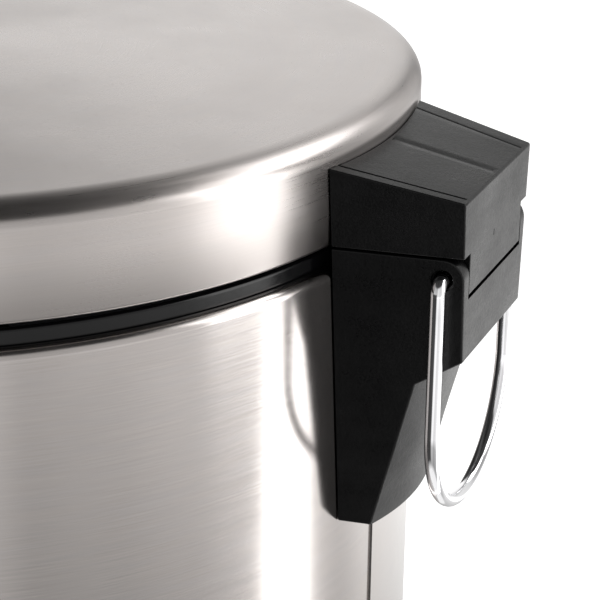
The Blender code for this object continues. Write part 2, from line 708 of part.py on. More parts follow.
def make_backing_plate():
    """The curved steel plate inside the rear wall, with its four screws."""
    outer, inner = BODY_INNER - GAP, BODY_INNER - GAP - 1.5 * MM
    low_z, high_z = LID_EDGE_Z - 68 * MM, LID_EDGE_Z - 16 * MM
    plate = turned([(outer, high_z), (outer, low_z), (inner, low_z), (inner, high_z)])
    keep = box((-19 * MM, 100 * MM, low_z - 1 * MM), (19 * MM, 140 * MM, high_z + 1 * MM))
    combine(plate, keep, "INTERSECT")
    slot_low = ROD_JOG_TOP_Z - 14.5 * MM
    cut(
        plate,
        box((-ROD_SLOT_HALF_WIDTH, 100 * MM, slot_low), (ROD_SLOT_HALF_WIDTH, 140 * MM, high_z + 5 * MM)),
    )
    for x, z in bracket_screw_places():
        cut(plate, cylinder((x, 110 * MM, z), (x, 140 * MM, z), SHEET_BORE, 12))
    as_part(plate, "hinge_backing_plate", ZINC)
    seat_y = inner - 1.4 * MM
    names = ("lower_right", "lower_left", "upper_right", "upper_left")
    for name, (x, z) in zip(reversed(names), bracket_screw_places()):
        fastener = screw((x, 131 * MM, z), (x, seat_y, z), SMALL_SCREW, SMALL_SCREW_HEAD, 1.8 * MM)
        as_part(fastener, f"bracket_screw_{name}", ZINC)


def make_hinge_pin():
    pin = cylinder((-21.3 * MM, HINGE_Y, HINGE_Z), (21.3 * MM, HINGE_Y, HINGE_Z), PIN_RADIUS)
    return as_part(pin, "hinge_pin", ZINC)


def make_lid_hinge_block(lid_pivot):
    """The plastic block on the lid, its knuckle between the cheeks, and the fork of its crank."""
    front_top_z = BLOCK_REAR_TOP_Z + (REAR_Y - HINGE_FRONT_Y) * BLOCK_TOP_SLOPE
    outline = [
        (HINGE_FRONT_Y, BLOCK_FOOT_Z),
        (REAR_Y, BLOCK_FOOT_Z),
        (REAR_Y, BLOCK_REAR_TOP_Z),
        (HINGE_FRONT_Y, front_top_z),
    ]
    block = tapered_block(outline)
    knuckle_top_z = BLOCK_FOOT_Z + 3 * MM
    knuckle = arc((HINGE_Y, HINGE_Z), KNUCKLE_RADIUS, 180, 270, 6)
    knuckle += [(REAR_Y, KNUCKLE_FOOT_Z), (REAR_Y, knuckle_top_z)]
    knuckle += [(HINGE_Y - KNUCKLE_RADIUS, knuckle_top_z)]
    knuckle_x = CHEEK_INNER_X - GAP
    cut(block, round_shell(BODY_RADIUS + GAP))
    join(block, side_plate(knuckle, -knuckle_x, knuckle_x))
    for low_x, high_x in ((-6.4 * MM, -3.4 * MM), (3.4 * MM, 6.4 * MM)):
        join(block, side_plate(crank_outline(), low_x, high_x))
    cut(
        block,
        cylinder((-40 * MM, HINGE_Y, HINGE_Z), (40 * MM, HINGE_Y, HINGE_Z), PIN_RADIUS + GAP),
        cylinder(
            (-15 * MM, CRANK_PIN_Y, CRANK_PIN_Z),
            (15 * MM, CRANK_PIN_Y, CRANK_PIN_Z),
            LINK_PIN_RADIUS + GAP,
            12,
        ),
    )
    for x in (-BRACKET_SCREW_X, BRACKET_SCREW_X):
        cut(block, cylinder((x, 115 * MM, LID_SCREW_Z), (x, 136 * MM, LID_SCREW_Z), PLASTIC_BORE, 12))
    as_part(block, "lid_hinge_block", BLACK_PLASTIC, lid_pivot)
    pin = cylinder(
        (-7.6 * MM, CRANK_PIN_Y, CRANK_PIN_Z), (7.6 * MM, CRANK_PIN_Y, CRANK_PIN_Z), LINK_PIN_RADIUS, 12
    )
    as_part(pin, "crank_link_pin", ZINC, lid_pivot)


def crank_outline():
    """A tapering arm in (y, z) from the hinge axis to the crank's pin, with round ends."""
    down = 180 + math.degrees(CRANK_REST)
    outline = arc((CRANK_PIN_Y, CRANK_PIN_Z), 3.4 * MM, down - 90, down + 90, 6)
    return outline + arc((HINGE_Y, HINGE_Z), 4.5 * MM, down + 90, down + 270, 8)


def lid_outline(offset):
    """The lid's surface from its centre to the end of its rounded edge, offset inwards."""
    crest_radius = BODY_RADIUS - LID_EDGE_WIDTH
    rise = HEIGHT - LID_CREST_Z
    outline = []
    for i in range(3):
        radius = crest_radius * i / 3
        z = LID_CREST_Z + rise * (1 - (radius / crest_radius) ** 2)
        outline.append((radius, z - offset))
    for i in range(6):
        angle = math.radians(90 - 18 * i)
        across = abs(math.cos(angle)) ** (2 / LID_EDGE_FULLNESS)
        up = abs(math.sin(angle)) ** (2 / LID_EDGE_FULLNESS)
        radius = crest_radius + (LID_EDGE_WIDTH - offset) * across
        z = LID_CREST_Z - LID_EDGE_DEPTH + (LID_EDGE_DEPTH - offset) * up
        outline.append((radius, z))
    return outline


def make_lid(lid_pivot):
    """The steel lid with its two screws."""
    profile = lid_outline(0.0)
    profile += [(BODY_RADIUS, LID_FOOT_Z), (BODY_INNER, LID_FOOT_Z)]
    profile += reversed(lid_outline(SHEET))
    lid = turned(profile, closed=False)
    for x in (-BRACKET_SCREW_X, BRACKET_SCREW_X):
        cut(lid, cylinder((x, 110 * MM, LID_SCREW_Z), (x, 140 * MM, LID_SCREW_Z), SHEET_BORE, 12))
    as_part(lid, "lid_shell", STEEL, lid_pivot)
    seat_y = math.sqrt(BODY_INNER**2 - BRACKET_SCREW_X**2) - 0.8 * MM
    for name, x in (("left", -BRACKET_SCREW_X), ("right", BRACKET_SCREW_X)):
        tip, seat = (x, 134 * MM, LID_SCREW_Z), (x, seat_y, LID_SCREW_Z)
        fastener = screw(tip, seat, SMALL_SCREW, SMALL_SCREW_HEAD, 1.4 * MM)
        as_part(fastener, f"lid_screw_{name}", ZINC, lid_pivot)


def make_lid_liner(lid_pivot):
    """The plastic cap inside the lid, with rubber buffers under its skirt."""
    skirt, inner, foot_z = 121.0 * MM, 119.3 * MM, LID_EDGE_Z + 0.5 * MM
    top_z = LID_EDGE_Z + 22 * MM
    under_z = top_z - 1.5 * MM
    profile = [
        (0.0, top_z),
        (skirt - 2 * MM, top_z),
        (skirt, top_z - 2 * MM),
        (skirt, foot_z),
        (inner, foot_z),
        (inner, under_z - 1 * MM),
        (inner - 1 * MM, under_z),
        (0.0, under_z),
    ]
    as_part(turned(profile, closed=False), "lid_liner", BLACK_PLASTIC, lid_pivot)
    for name, degrees in (("front", -90), ("left", 142.5), ("right", 37.5)):
        turn = Matrix.Rotation(math.radians(degrees), 4, "Z")
        low_z, high_z = RING_TOP_Z + GAP, foot_z - GAP
        buffer = box((119.2 * MM, -4 * MM, low_z), (120.1 * MM, 4 * MM, high_z))
        buffer.data.transform(turn)
        as_part(buffer, f"lid_buffer_{name}", RUBBER, lid_pivot)


def make_carry_handle(handle_pivot):
    """The chrome bail. It hangs in its rest pose, and its ends turn in the hinge's cheeks."""
    bend_z = HINGE_Z - HANDLE_LEG
    near = rounded_path(
        [
            (21.9 * MM, HINGE_Y, HINGE_Z),
            (HANDLE_HALF_WIDTH, HINGE_Y, HINGE_Z),
            (HANDLE_HALF_WIDTH, HINGE_Y, bend_z),
        ],
        2.6 * MM,
        4,
    )
    bottom = arc((0.0, bend_z), HANDLE_HALF_WIDTH, 0, -180, 20)
    curve = [Vector((x, HINGE_Y, z)) for x, z in bottom[1:-1]]
    far = [Vector((-point.x, point.y, point.z)) for point in reversed(near)]
    as_part(wire(near + curve + far, HANDLE_WIRE), "carry_handle", CHROME, handle_pivot)


def make_bucket(bucket_lift):
    """The lift-out bucket, with a lug on each side of its rim for the bail."""
    inner_foot = BUCKET_FOOT_RADIUS - BUCKET_WALL
    inner_mouth = BUCKET_MOUTH_RADIUS - BUCKET_WALL
    floor_z = BUCKET_FOOT_Z + BUCKET_WALL
    rim_low_z = BUCKET_RIM_Z - BUCKET_WALL
    profile = [
        (0.0, floor_z),
        (inner_foot, floor_z),
        (inner_mouth, BUCKET_RIM_Z),
        (BUCKET_RIM_RADIUS, BUCKET_RIM_Z),
        (BUCKET_RIM_RADIUS, rim_low_z),
        (BUCKET_MOUTH_RADIUS, rim_low_z),
        (BUCKET_FOOT_RADIUS, BUCKET_FOOT_Z),
        (0.0, BUCKET_FOOT_Z),
    ]
    bucket = turned(profile, closed=False)
    for side in (-1, 1):
        low_x, high_x = sorted((side * LUG_INNER_X, side * LUG_OUTER_X))
        foot, top = BUCKET_RIM_Z - 0.5 * MM, BAIL_Z + 4 * MM
        lug = box((low_x, -LUG_HALF_WIDTH, foot), (high_x, LUG_HALF_WIDTH, top))
        join(bucket, lug)
    for side in (-1, 1):
        low_x, high_x = sorted((side * 108.0 * MM, side * 118.0 * MM))
        cut(bucket, cylinder((low_x, 0, BAIL_Z), (high_x, 0, BAIL_Z), BAIL_WIRE + GAP, 12))
    return as_part(bucket, "inner_bucket", GREY_PLASTIC, bucket_lift)


def make_bucket_handle(bail_pivot):
    """The bucket's wire bail, folded down round the front of the rim."""
    rim = [Vector((x, y, BAIL_Z)) for x, y in arc((0.0, 0.0), BAIL_RADIUS, -4, -176, 26)]
    end, corner = Vector((109.0 * MM, 0, BAIL_Z)), Vector((BAIL_RADIUS, 0, BAIL_Z))
    near = rounded_path([end, corner, rim[0]], 2 * MM, 4)
    far = [Vector((-point.x, point.y, point.z)) for point in reversed(near)]
    points = near + rim[1:-1] + far
    as_part(wire(points, BAIL_WIRE), "bucket_handle", ZINC, bail_pivot)


def main():
    lid_pivot = pivot("lid_hinge_axis", HINGE_Y, HINGE_Z)
    handle_pivot = pivot("carry_handle_axis", HINGE_Y, HINGE_Z)
    lever_pivot = pivot("pedal_axis", LEVER_PIVOT_Y, LEVER_PIVOT_Z)
    rod_guide = pivot("push_rod_line", ROD_SHANK_Y, 0.0)
    bucket_lift = pivot("bucket_line", 0.0, 0.0)
    bail_pivot = pivot("bucket_handle_axis", 0.0, BAIL_Z)
    make_body()
    make_top_ring()
    make_base_ring()
    make_feet()
    make_bottom_plate()
    make_pedal_bracket()
    make_pedal_pivot()
    make_pedal(lever_pivot)
    make_push_rod(rod_guide)
    make_rod_guides()
    make_hinge_bracket()
    make_backing_plate()
    make_hinge_pin()
    make_lid_hinge_block(lid_pivot)
    make_lid(lid_pivot)
    make_lid_liner(lid_pivot)
    make_carry_handle(handle_pivot)
    make_bucket(bucket_lift)
    make_bucket_handle(bail_pivot)


main()
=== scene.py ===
"""The looks of the round pedal bin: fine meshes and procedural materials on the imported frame."""

import json
import math

import bmesh
import bpy
from mathutils import Matrix, Vector


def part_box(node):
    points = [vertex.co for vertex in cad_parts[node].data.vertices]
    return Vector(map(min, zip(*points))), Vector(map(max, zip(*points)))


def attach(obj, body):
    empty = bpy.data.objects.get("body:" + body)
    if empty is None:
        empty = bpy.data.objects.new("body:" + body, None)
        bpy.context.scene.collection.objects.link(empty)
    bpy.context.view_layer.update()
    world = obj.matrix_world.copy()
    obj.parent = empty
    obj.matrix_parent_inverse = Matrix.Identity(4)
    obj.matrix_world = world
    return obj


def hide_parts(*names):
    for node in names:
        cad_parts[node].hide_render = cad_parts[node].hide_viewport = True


MM = 0.001
FULL_TURN = 192  # sides of the large round pieces

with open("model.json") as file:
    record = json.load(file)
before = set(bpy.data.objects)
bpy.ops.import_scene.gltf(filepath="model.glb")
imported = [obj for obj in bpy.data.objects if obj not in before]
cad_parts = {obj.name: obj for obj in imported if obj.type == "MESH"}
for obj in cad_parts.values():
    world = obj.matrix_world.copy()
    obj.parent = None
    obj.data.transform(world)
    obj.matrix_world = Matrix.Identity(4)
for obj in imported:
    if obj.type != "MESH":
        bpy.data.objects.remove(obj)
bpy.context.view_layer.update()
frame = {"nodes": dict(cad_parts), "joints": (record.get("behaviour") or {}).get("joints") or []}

JOINTS = {joint["name"]: joint for joint in frame["joints"]}
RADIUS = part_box("outer_body")[1].x
SHEET = 0.8 * MM
INNER = RADIUS - SHEET
HEM_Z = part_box("lid_shell")[0].z
EDGE_Z = HEM_Z + 0.6 * MM  # heights at the hinge are measured from here
TOP_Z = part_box("lid_shell")[1].z
REAR_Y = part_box("lid_hinge_block")[1].y
HINGE_FRONT_Y = 118 * MM  # inside the wall, where the hinge's outlines start
HINGE = Vector(JOINTS["lid_hinge"]["pos_m"])
HINGE_YZ = tuple(HINGE.yz)
PIN_BORE = 2.3 * MM
BAIL_Z = JOINTS["bucket_handle_swing"]["pos_m"][2]
GAP = 0.3 * MM
SEAM_ANGLE = math.pi / 2 - 5.4 * MM / RADIUS
LAP = 0.55 * MM  # how far the rear seam's outer end stands out


# Outlines


def arc(centre, radius, start, end, steps):
    """Points on a circle's arc, from start to end in degrees."""
    points = []
    for i in range(steps + 1):
        angle = math.radians(start + (end - start) * i / steps)
        points.append((centre[0] + radius * math.cos(angle), centre[1] + radius * math.sin(angle)))
    return points


def circle(centre, radius, sides):
    """The corners of a polygon that stands for a circle."""
    return arc(centre, radius, 0, 360 - 360 / sides, sides - 1)


def rounded(corners, radius=0.4 * MM, steps=4):
    """A closed outline with its corners rounded. A corner's third value is its own radius."""
    outline = []
    for i, corner in enumerate(corners):
        point = Vector(corner[:2])
        before = Vector(corners[i - 1][:2]) - point
        after = Vector(corners[(i + 1) % len(corners)][:2]) - point
        own = corner[2] if len(corner) > 2 else radius
        half = before.angle(after) / 2
        if own == 0 or half > math.radians(86):
            outline.append(tuple(point))
            continue
        reach = min(own / math.tan(half), 0.45 * before.length, 0.45 * after.length)
        own = reach * math.tan(half)
        centre = point + (before.normalized() + after.normalized()).normalized() * own / math.sin(half)
        spoke = point + before.normalized() * reach - centre
        sweep = math.pi - 2 * half
        if before.x * after.y - before.y * after.x > 0:
            sweep = -sweep
        for k in range(steps + 1):
            outline.append(tuple(centre + Matrix.Rotation(sweep * k / steps, 2) @ spoke))
    return outline


# Meshes


def mesh_object(name, verts, faces):
    """An object with that mesh, its normals facing out."""
    shape = bmesh.new()
    made = [shape.verts.new(vert) for vert in verts]
    for face in faces:
        shape.faces.new([made[i] for i in face])
    bmesh.ops.recalc_face_normals(shape, faces=shape.faces)
    mesh = bpy.data.meshes.new(name)
    shape.to_mesh(mesh)
    shape.free()
    obj = bpy.data.objects.new(name, mesh)
    bpy.context.scene.collection.objects.link(obj)
    return obj


def equal_angles(count):
    return [2 * math.pi * i / count for i in range(count)]


def turned(name, profile, angles=None, swell=None):
    """A closed (radius, z) outline turned about the Z axis. A point on the axis is one vertex."""
    angles = angles or equal_angles(FULL_TURN)
    verts, rows = [], []
    for radius, z in profile:
        first = len(verts)
        if radius < 1e-7:
            verts.append((0.0, 0.0, z))
            rows.append([first] * len(angles))
            continue
        for angle in angles:
            far = radius + (swell(radius, angle) if swell else 0.0)
            verts.append((far * math.cos(angle), far * math.sin(angle), z))
        rows.append(list(range(first, first + len(angles))))
    faces = []
    for low, high in zip(rows, rows[1:] + rows[:1]):
        for i in range(len(angles)):
            j = (i + 1) % len(angles)
            face = list(dict.fromkeys((low[i], low[j], high[j], high[i])))
            if len(face) > 2:
                faces.append(face)
    return mesh_object(name, verts, faces)


def lofted(name, outline, place, stations):
    """The same outline at several stations. place(u, v, station) gives each vertex."""
    verts = [place(u, v, station) for station in stations for u, v in outline]
    count = len(outline)
    faces = [list(range(count)), list(range(count * (len(stations) - 1), len(verts)))]
    for k in range(len(stations) - 1):
        for i in range(count):
            j = (i + 1) % count
            faces.append([k * count + i, k * count + j, (k + 1) * count + j, (k + 1) * count + i])
    return mesh_object(name, verts, faces)


def spread(low, high, count):
    return [low + (high - low) * i / (count - 1) for i in range(count)]


def plate(name, outline, x_low, x_high):
    """A (y, z) outline from x_low to x_high."""
    return lofted(name, outline, lambda y, z, x: (x, y, z), (x_low, x_high))


def slab(name, outline, z_low, z_high):
    """An (x, y) outline from z_low to z_high."""
    return lofted(name, outline, lambda x, y, z: (x, y, z), (z_low, z_high))


def block(name, low, high):
    """A cutting tool: a block between two corners."""
    corners = ((low[1], low[2]), (high[1], low[2]), (high[1], high[2]), (low[1], high[2]))
    return plate(name, corners, low[0], high[0])


def rod(name, start, end, radius, bevel=0.3 * MM):
    """A round pin from start to end with its two edges bevelled."""
    start, end = Vector(start), Vector(end)
    length = (end - start).length
    profile = [(0, 0), (radius - bevel, 0), (radius, bevel), (radius, length - bevel)]
    profile += [(radius - bevel, length), (0, length)]
    obj = turned(name, profile, equal_angles(40))
    turn = Vector((0, 0, 1)).rotation_difference(end - start).to_matrix().to_4x4()
    obj.data.transform(Matrix.Translation(start) @ turn)
    return obj


def apply_modifiers(obj):
    graph = bpy.context.evaluated_depsgraph_get()
    mesh = bpy.data.meshes.new_from_object(obj.evaluated_get(graph))
    obj.modifiers.clear()
    obj.data = mesh
    return obj


def combine(obj, operation, *tools):
    """Apply one Boolean for each tool and remove the tools."""
    for tool in tools:
        modifier = obj.modifiers.new("combine", "BOOLEAN")
        modifier.operation = operation
        modifier.solver = "EXACT"
        modifier.object = tool
    apply_modifiers(obj)
    for tool in tools:
        bpy.data.objects.remove(tool, do_unlink=True)
    return obj


def carve(obj, *tools):
    return combine(obj, "DIFFERENCE", *tools)


def join(obj, *tools):
    return combine(obj, "UNION", *tools)


def bevel(obj, width, segments=3, limit=40):
    """Round every edge sharper than the limit in degrees."""
    modifier = obj.modifiers.new("bevel", "BEVEL")
    modifier.width = width
    modifier.segments = segments
    modifier.limit_method = "ANGLE"
    modifier.angle_limit = math.radians(limit)
    modifier.use_clamp_overlap = True
    return apply_modifiers(obj)


def clean(obj):
    """Weld doubles and drop slivers that the Booleans leave."""
    shape = bmesh.new()
    shape.from_mesh(obj.data)
    bmesh.ops.remove_doubles(shape, verts=shape.verts, dist=0.002 * MM)
    bmesh.ops.dissolve_degenerate(shape, edges=shape.edges, dist=0.002 * MM)
    shape.to_mesh(obj.data)
    shape.free()
    return obj


def put(obj, body, slot, material, stands_for):
    """Shade the piece, give it its material and body, and hide the CAD node it stands for. The slot is
    not used.
    """
    obj.data.materials.clear()
    obj.data.materials.append(material)
    obj.data.shade_smooth()
    obj.data.set_sharp_from_angle(angle=math.radians(32))
    normals = obj.modifiers.new("normals", "WEIGHTED_NORMAL")
    normals.keep_sharp = True
    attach(obj, body)
    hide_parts(stands_for)


def wire(name, points, radius):
    """A round wire along the points, with domed ends."""
    sides = 20
    points = [Vector(point) for point in points]
    ahead = (points[1] - points[0]).normalized()
    across = ahead.orthogonal().normalized()
    rings = []
    for i, point in enumerate(points):
        before = points[max(i - 1, 0)]
        after = points[min(i + 1, len(points) - 1)]
        now = (after - before).normalized()
        across = (ahead.rotation_difference(now) @ across).normalized()
        ahead = now
        rings.append((point, ahead, across, radius))

    def dome(end, sign):
        """Two smaller rings beyond one end of the wire."""
        point, ahead, across, size = end
        steps = ((0.21, 0.8), (0.35, 0.45))
        return [(point + ahead * sign * size * far, ahead, across, size * share) for far, share in steps]

    verts = []
    for point, ahead, across, size in dome(rings[0], -1)[::-1] + rings + dome(rings[-1], 1):
        up = ahead.cross(across)
        for turn in equal_angles(sides):
            verts.append(point + (across * math.cos(turn) + up * math.sin(turn)) * size)
    last = len(verts) - sides
    faces = [list(range(sides)), list(range(last, len(verts)))]
    for low in range(0, last, sides):
        high = low + sides
        for k in range(sides):
            j = (k + 1) % sides
            faces.append([low + k, low + j, high + j, high + k])
    return mesh_object(name, verts, faces)


def rounded_path(corners, radius, steps):
    """The corners of a wire's path as points, with an arc of the radius in place of each bend."""
    corners = [Vector(corner) for corner in corners]
    points = [corners[0]]
    for before, corner, after in zip(corners, corners[1:], corners[2:]):
        back = (before - corner).normalized()
        ahead = (after - corner).normalized()
        half = back.angle(ahead) / 2
        centre = corner + (back + ahead).normalized() * radius / math.sin(half)
        first = corner + back * radius / math.tan(half) - centre
        last = corner + ahead * radius / math.tan(half) - centre
        turn = first.rotation_difference(last)
        for i in range(steps + 1):
            part_turn = turn.copy()
            part_turn.angle = turn.angle * i / steps
            points.append(centre + part_turn @ first)
    points.append(corners[-1])
    return points


# Material nodes


def node(tree, kind, inputs=None, **settings):
    """A shader node with its settings and inputs. An input is a number, a tuple or a socket."""
    made = tree.nodes.new("ShaderNode" + kind)
    for key, value in settings.items():
        setattr(made, key, value)
    for key, value in (inputs or {}).items():
        if isinstance(value, bpy.types.NodeSocket):
            tree.links.new(value, made.inputs[key])
        else:
            made.inputs[key].default_value = value
    return made


def maths(tree, operation, *values):
    made = node(tree, "Math", dict(enumerate(values)), operation=operation)
    return made.outputs[0]


def noise(tree, vector, scale, detail, roughness=0.5):
    inputs = {"Vector": vector, "Scale": scale, "Detail": detail, "Roughness": roughness}
    return node(tree, "TexNoise", inputs).outputs["Fac"]


def ranged(tree, value, low, high, to_low, to_high):
    """The value from low..high stretched to to_low..to_high, clamped."""
    inputs = {"Value": value, "From Min": low, "From Max": high, "To Min": to_low, "To Max": to_high}
    return node(tree, "MapRange", inputs).outputs["Result"]


def mixed(tree, share, first, second):
    """Two colours mixed by a share. The numbers are the Mix node's own sockets for colours."""
    return node(tree, "Mix", {0: share, 6: first, 7: second}, data_type="RGBA").outputs[2]


def shade(colour, factor):
    """The colour made darker or lighter."""
    return (*(channel * factor for channel in colour), 1.0)


def new_material(name):
    material = bpy.data.materials.new(name)
    material.use_nodes = True
    tree = material.node_tree
    return material, tree, tree.nodes["Principled BSDF"]


def object_place(tree):
    return node(tree, "TexCoord").outputs["Object"]


def edge_wear(tree, low, high):
    """0 on flat surfaces and 1 on worn convex edges."""
    pointiness = node(tree, "NewGeometry").outputs["Pointiness"]
    return ranged(tree, pointiness, low, high, 0.0, 1.0)


def brushed_around(name, colour, roughness, anisotropy, painted_shade_below=None):
    """Steel brushed in circles about the Z axis. Painted shade darkens its colour over the 12 mm below
    painted_shade_below, and most below that.
    """
    material, tree, shader = new_material(name)
    place = object_place(tree)
    parts = node(tree, "SeparateXYZ", {"Vector": place}).outputs
    x_square, y_square = (maths(tree, "POWER", parts[axis], 2.0) for axis in "XY")
    radius = maths(tree, "SQRT", maths(tree, "ADD", x_square, y_square))
    across = maths(tree, "MULTIPLY", maths(tree, "ADD", radius, parts["Z"]), 3600.0)
    along_x, along_y = (
        maths(tree, "MULTIPLY", maths(tree, "DIVIDE", parts[axis], radius), 7.0) for axis in "XY"
    )
    streaks = node(tree, "CombineXYZ", {"X": along_x, "Y": along_y, "Z": across}).outputs[0]
    grain = noise(tree, streaks, 1.0, 4.0, 0.65)
    slow_across = maths(tree, "MULTIPLY", across, 0.12)
    bands = node(tree, "CombineXYZ", {"X": along_x, "Y": along_y, "Z": slow_across}).outputs[0]
    band = noise(tree, bands, 1.0, 3.0, 0.6)
    cloud = noise(tree, place, 26.0, 4.0, 0.6)
    speck = noise(tree, place, 900.0, 2.0, 0.5)
    grain_share = ranged(tree, grain, 0.3, 0.7, 0.0, 1.0)
    tone = mixed(tree, grain_share, shade(colour, 0.94), shade(colour, 1.04))
    cool = (colour[0] * 0.93, colour[1] * 0.96, colour[2], 1.0)
    tone = mixed(tree, ranged(tree, band, 0.35, 0.75, 0.0, 0.4), tone, cool)
    smudge = ranged(tree, cloud, 0.45, 0.75, 0.0, 0.12)
    tone = mixed(tree, smudge, tone, shade(colour, 0.8))
    wear = maths(tree, "MULTIPLY", edge_wear(tree, 0.53, 0.62), 0.35)
    tone = mixed(tree, wear, tone, shade(colour, 1.2))
    # Painted shade: the colour darkens towards the bottom, over the 12 mm below the given height.
    if painted_shade_below:
        low = ranged(tree, parts["Z"], painted_shade_below - 12 * MM, painted_shade_below, 0.9, 0.0)
        tone = mixed(tree, low, tone, shade(colour, 0.66))
    tree.links.new(tone, shader.inputs["Base Color"])
    rough = ranged(tree, grain, 0.25, 0.75, roughness - 0.025, roughness + 0.03)
    rough = maths(tree, "ADD", rough, ranged(tree, cloud, 0.4, 0.8, -0.015, 0.04))
    rough = maths(tree, "ADD", rough, ranged(tree, speck, 0.62, 0.8, 0.0, 0.06))
    tree.links.new(rough, shader.inputs["Roughness"])
    shader.inputs["Metallic"].default_value = 1.0
    shader.inputs["Anisotropic"].default_value = anisotropy
    shader.inputs["Anisotropic Rotation"].default_value = 0.25
    tangent = node(tree, "Tangent", direction_type="RADIAL", axis="Z")
    tree.links.new(tangent.outputs[0], shader.inputs["Tangent"])
    bump = node(tree, "Bump", {"Height": grain, "Strength": 0.25, "Distance": 0.03 * MM})
    tree.links.new(bump.outputs[0], shader.inputs["Normal"])
    return material


def moulded(name, colour, roughness, relief, texture=1500.0, worn=1.8, specular=0.5):
    """Moulded plastic or rubber with a fine texture, uneven gloss, and lighter worn edges."""
    material, tree, shader = new_material(name)
    place = object_place(tree)
    fine = noise(tree, place, texture, 3.0, 0.6)
    coarse = noise(tree, place, texture * 0.3, 2.0, 0.5)
    cloud = noise(tree, place, 40.0, 4.0, 0.6)
    layers = node(tree, "Mapping", {"Vector": place, "Scale": (30, 30, 220)}).outputs[0]
    flow = noise(tree, layers, 1.0, 3.0)
    cloud_share = ranged(tree, cloud, 0.3, 0.7, 0.0, 1.0)
    tone = mixed(tree, cloud_share, shade(colour, 0.82), shade(colour, 1.2))
    tone = mixed(tree, ranged(tree, fine, 0.35, 0.75, 0.0, 0.45), tone, shade(colour, 1.5))
    wear = maths(tree, "MULTIPLY", edge_wear(tree, 0.52, 0.6), ranged(tree, cloud, 0.3, 0.7, 0.3, 0.9))
    tone = mixed(tree, wear, tone, shade(colour, worn))
    tree.links.new(tone, shader.inputs["Base Color"])
    rough = ranged(tree, cloud, 0.3, 0.7, roughness - 0.05, roughness + 0.05)
    rough = maths(tree, "ADD", rough, ranged(tree, fine, 0.3, 0.7, -0.04, 0.04))
    rough = maths(tree, "ADD", rough, ranged(tree, flow, 0.4, 0.8, 0.0, 0.05))
    tree.links.new(rough, shader.inputs["Roughness"])
    shader.inputs["Specular IOR Level"].default_value = specular
    height = maths(tree, "ADD", fine, maths(tree, "MULTIPLY", coarse, 0.8))
    bump = node(tree, "Bump", {"Height": height, "Strength": relief, "Distance": 0.06 * MM})
    tree.links.new(bump.outputs[0], shader.inputs["Normal"])
    return material


def plated(name, colour, roughness, relief, variation):
    """Polished or plated metal: slight waviness, fine pits and duller patches."""
    material, tree, shader = new_material(name)
    place = object_place(tree)
    cloud = noise(tree, place, 60.0, 4.0, 0.6)
    pits = noise(tree, place, 1200.0, 2.0, 0.5)
    cloud_share = ranged(tree, cloud, 0.3, 0.7, 0.0, 1.0)
    tone = mixed(tree, cloud_share, shade(colour, 1 - variation), shade(colour, 1 + variation * 0.5))
    tone = mixed(tree, ranged(tree, pits, 0.66, 0.8, 0.0, 0.25), tone, shade(colour, 0.6))
    wear = maths(tree, "MULTIPLY", edge_wear(tree, 0.53, 0.62), 0.4)
    tone = mixed(tree, wear, tone, shade(colour, 1.12))
    tree.links.new(tone, shader.inputs["Base Color"])
    rough = ranged(tree, cloud, 0.3, 0.7, roughness * 0.75, roughness * 1.3)
    rough = maths(tree, "ADD", rough, ranged(tree, pits, 0.62, 0.8, 0.0, 0.08))
    tree.links.new(rough, shader.inputs["Roughness"])
    shader.inputs["Metallic"].default_value = 1.0
    bump = node(tree, "Bump", {"Height": cloud, "Strength": relief, "Distance": 0.2 * MM})
    tree.links.new(bump.outputs[0], shader.inputs["Normal"])
    return material


STEEL = brushed_around("brushed_steel", (0.468, 0.436, 0.42), 0.18, 0.6)
# The lid's steel carries painted shade towards its hem.
LID_STEEL_WITH_PAINTED_SHADE = brushed_around(
    "brushed_steel_lid_with_painted_shade", (0.503, 0.467, 0.45), 0.29, 0.3, painted_shade_below=EDGE_Z + 14 * MM
)
CHROME = plated("chrome_wire", (0.88, 0.88, 0.9), 0.05, relief=0.02, variation=0.03)
ZINC = plated("zinc_steel", (0.55, 0.56, 0.58), 0.33, relief=0.12, variation=0.18)
BLACK = moulded("black_plastic", (0.0016, 0.0016, 0.0018), 0.31, 0.75, specular=0.28)
RING = moulded("black_plastic_ring", (0.002, 0.002, 0.0024), 0.16, 0.1, texture=900.0, specular=0.28)
LINER = moulded("liner_plastic", (0.045, 0.045, 0.047), 0.4, 0.2, texture=1100.0, worn=1.4)
BUCKET = moulded("bucket_plastic", (0.11, 0.11, 0.12), 0.38, 0.2, texture=800.0, worn=1.4)
RUBBER = moulded("rubber", (0.022, 0.022, 0.022), 0.72, 0.4, texture=700.0, worn=1.3)


# Steel shells


def body_profile():
    """The tube's outline, with its top edge rolled in over the ring's shoulder."""
    low, high = (corner.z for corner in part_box("outer_body"))
    turn = 2.5 * MM
    centre = (RADIUS - turn, high - turn)
    outer = arc(centre, turn, 90, 0, 12)
    inner = arc(centre, turn - SHEET, 0, 90, 10)
    foot = [(RADIUS, low + 0.3 * MM), (RADIUS - 0.3 * MM, low)]
    foot += [(INNER + 0.2 * MM, low), (INNER, low + 0.2 * MM)]
    middle = [(RADIUS, z) for z in spread(high - 60 * MM, low + 60 * MM, 4)]
    return outer + middle + foot + inner


def lap(radius, angle):
    """The sheet's outer end overlaps its inner end at the rear seam and dies away beyond it."""
    if radius < RADIUS - 0.1 * MM:
        return 0.0
    past = (angle - SEAM_ANGLE) / math.radians(14)
    return LAP * (1 - past) if 0 < past < 1 else 0.0


def pedal_slot(low_z, low_radius, y_from, y_to):
    """A cutter of the slot that the pedal's lever comes out of, from low_z up."""
    half, high_z = 13 * MM, 31.5 * MM
    corners = [(-half, low_z, low_radius), (half, low_z, low_radius), (half, high_z), (-half, high_z)]
    outline = rounded(corners, 2.5 * MM, 6)
    return lofted("cut", outline, lambda x, z, y: (x, y, z), (y_from, y_to))


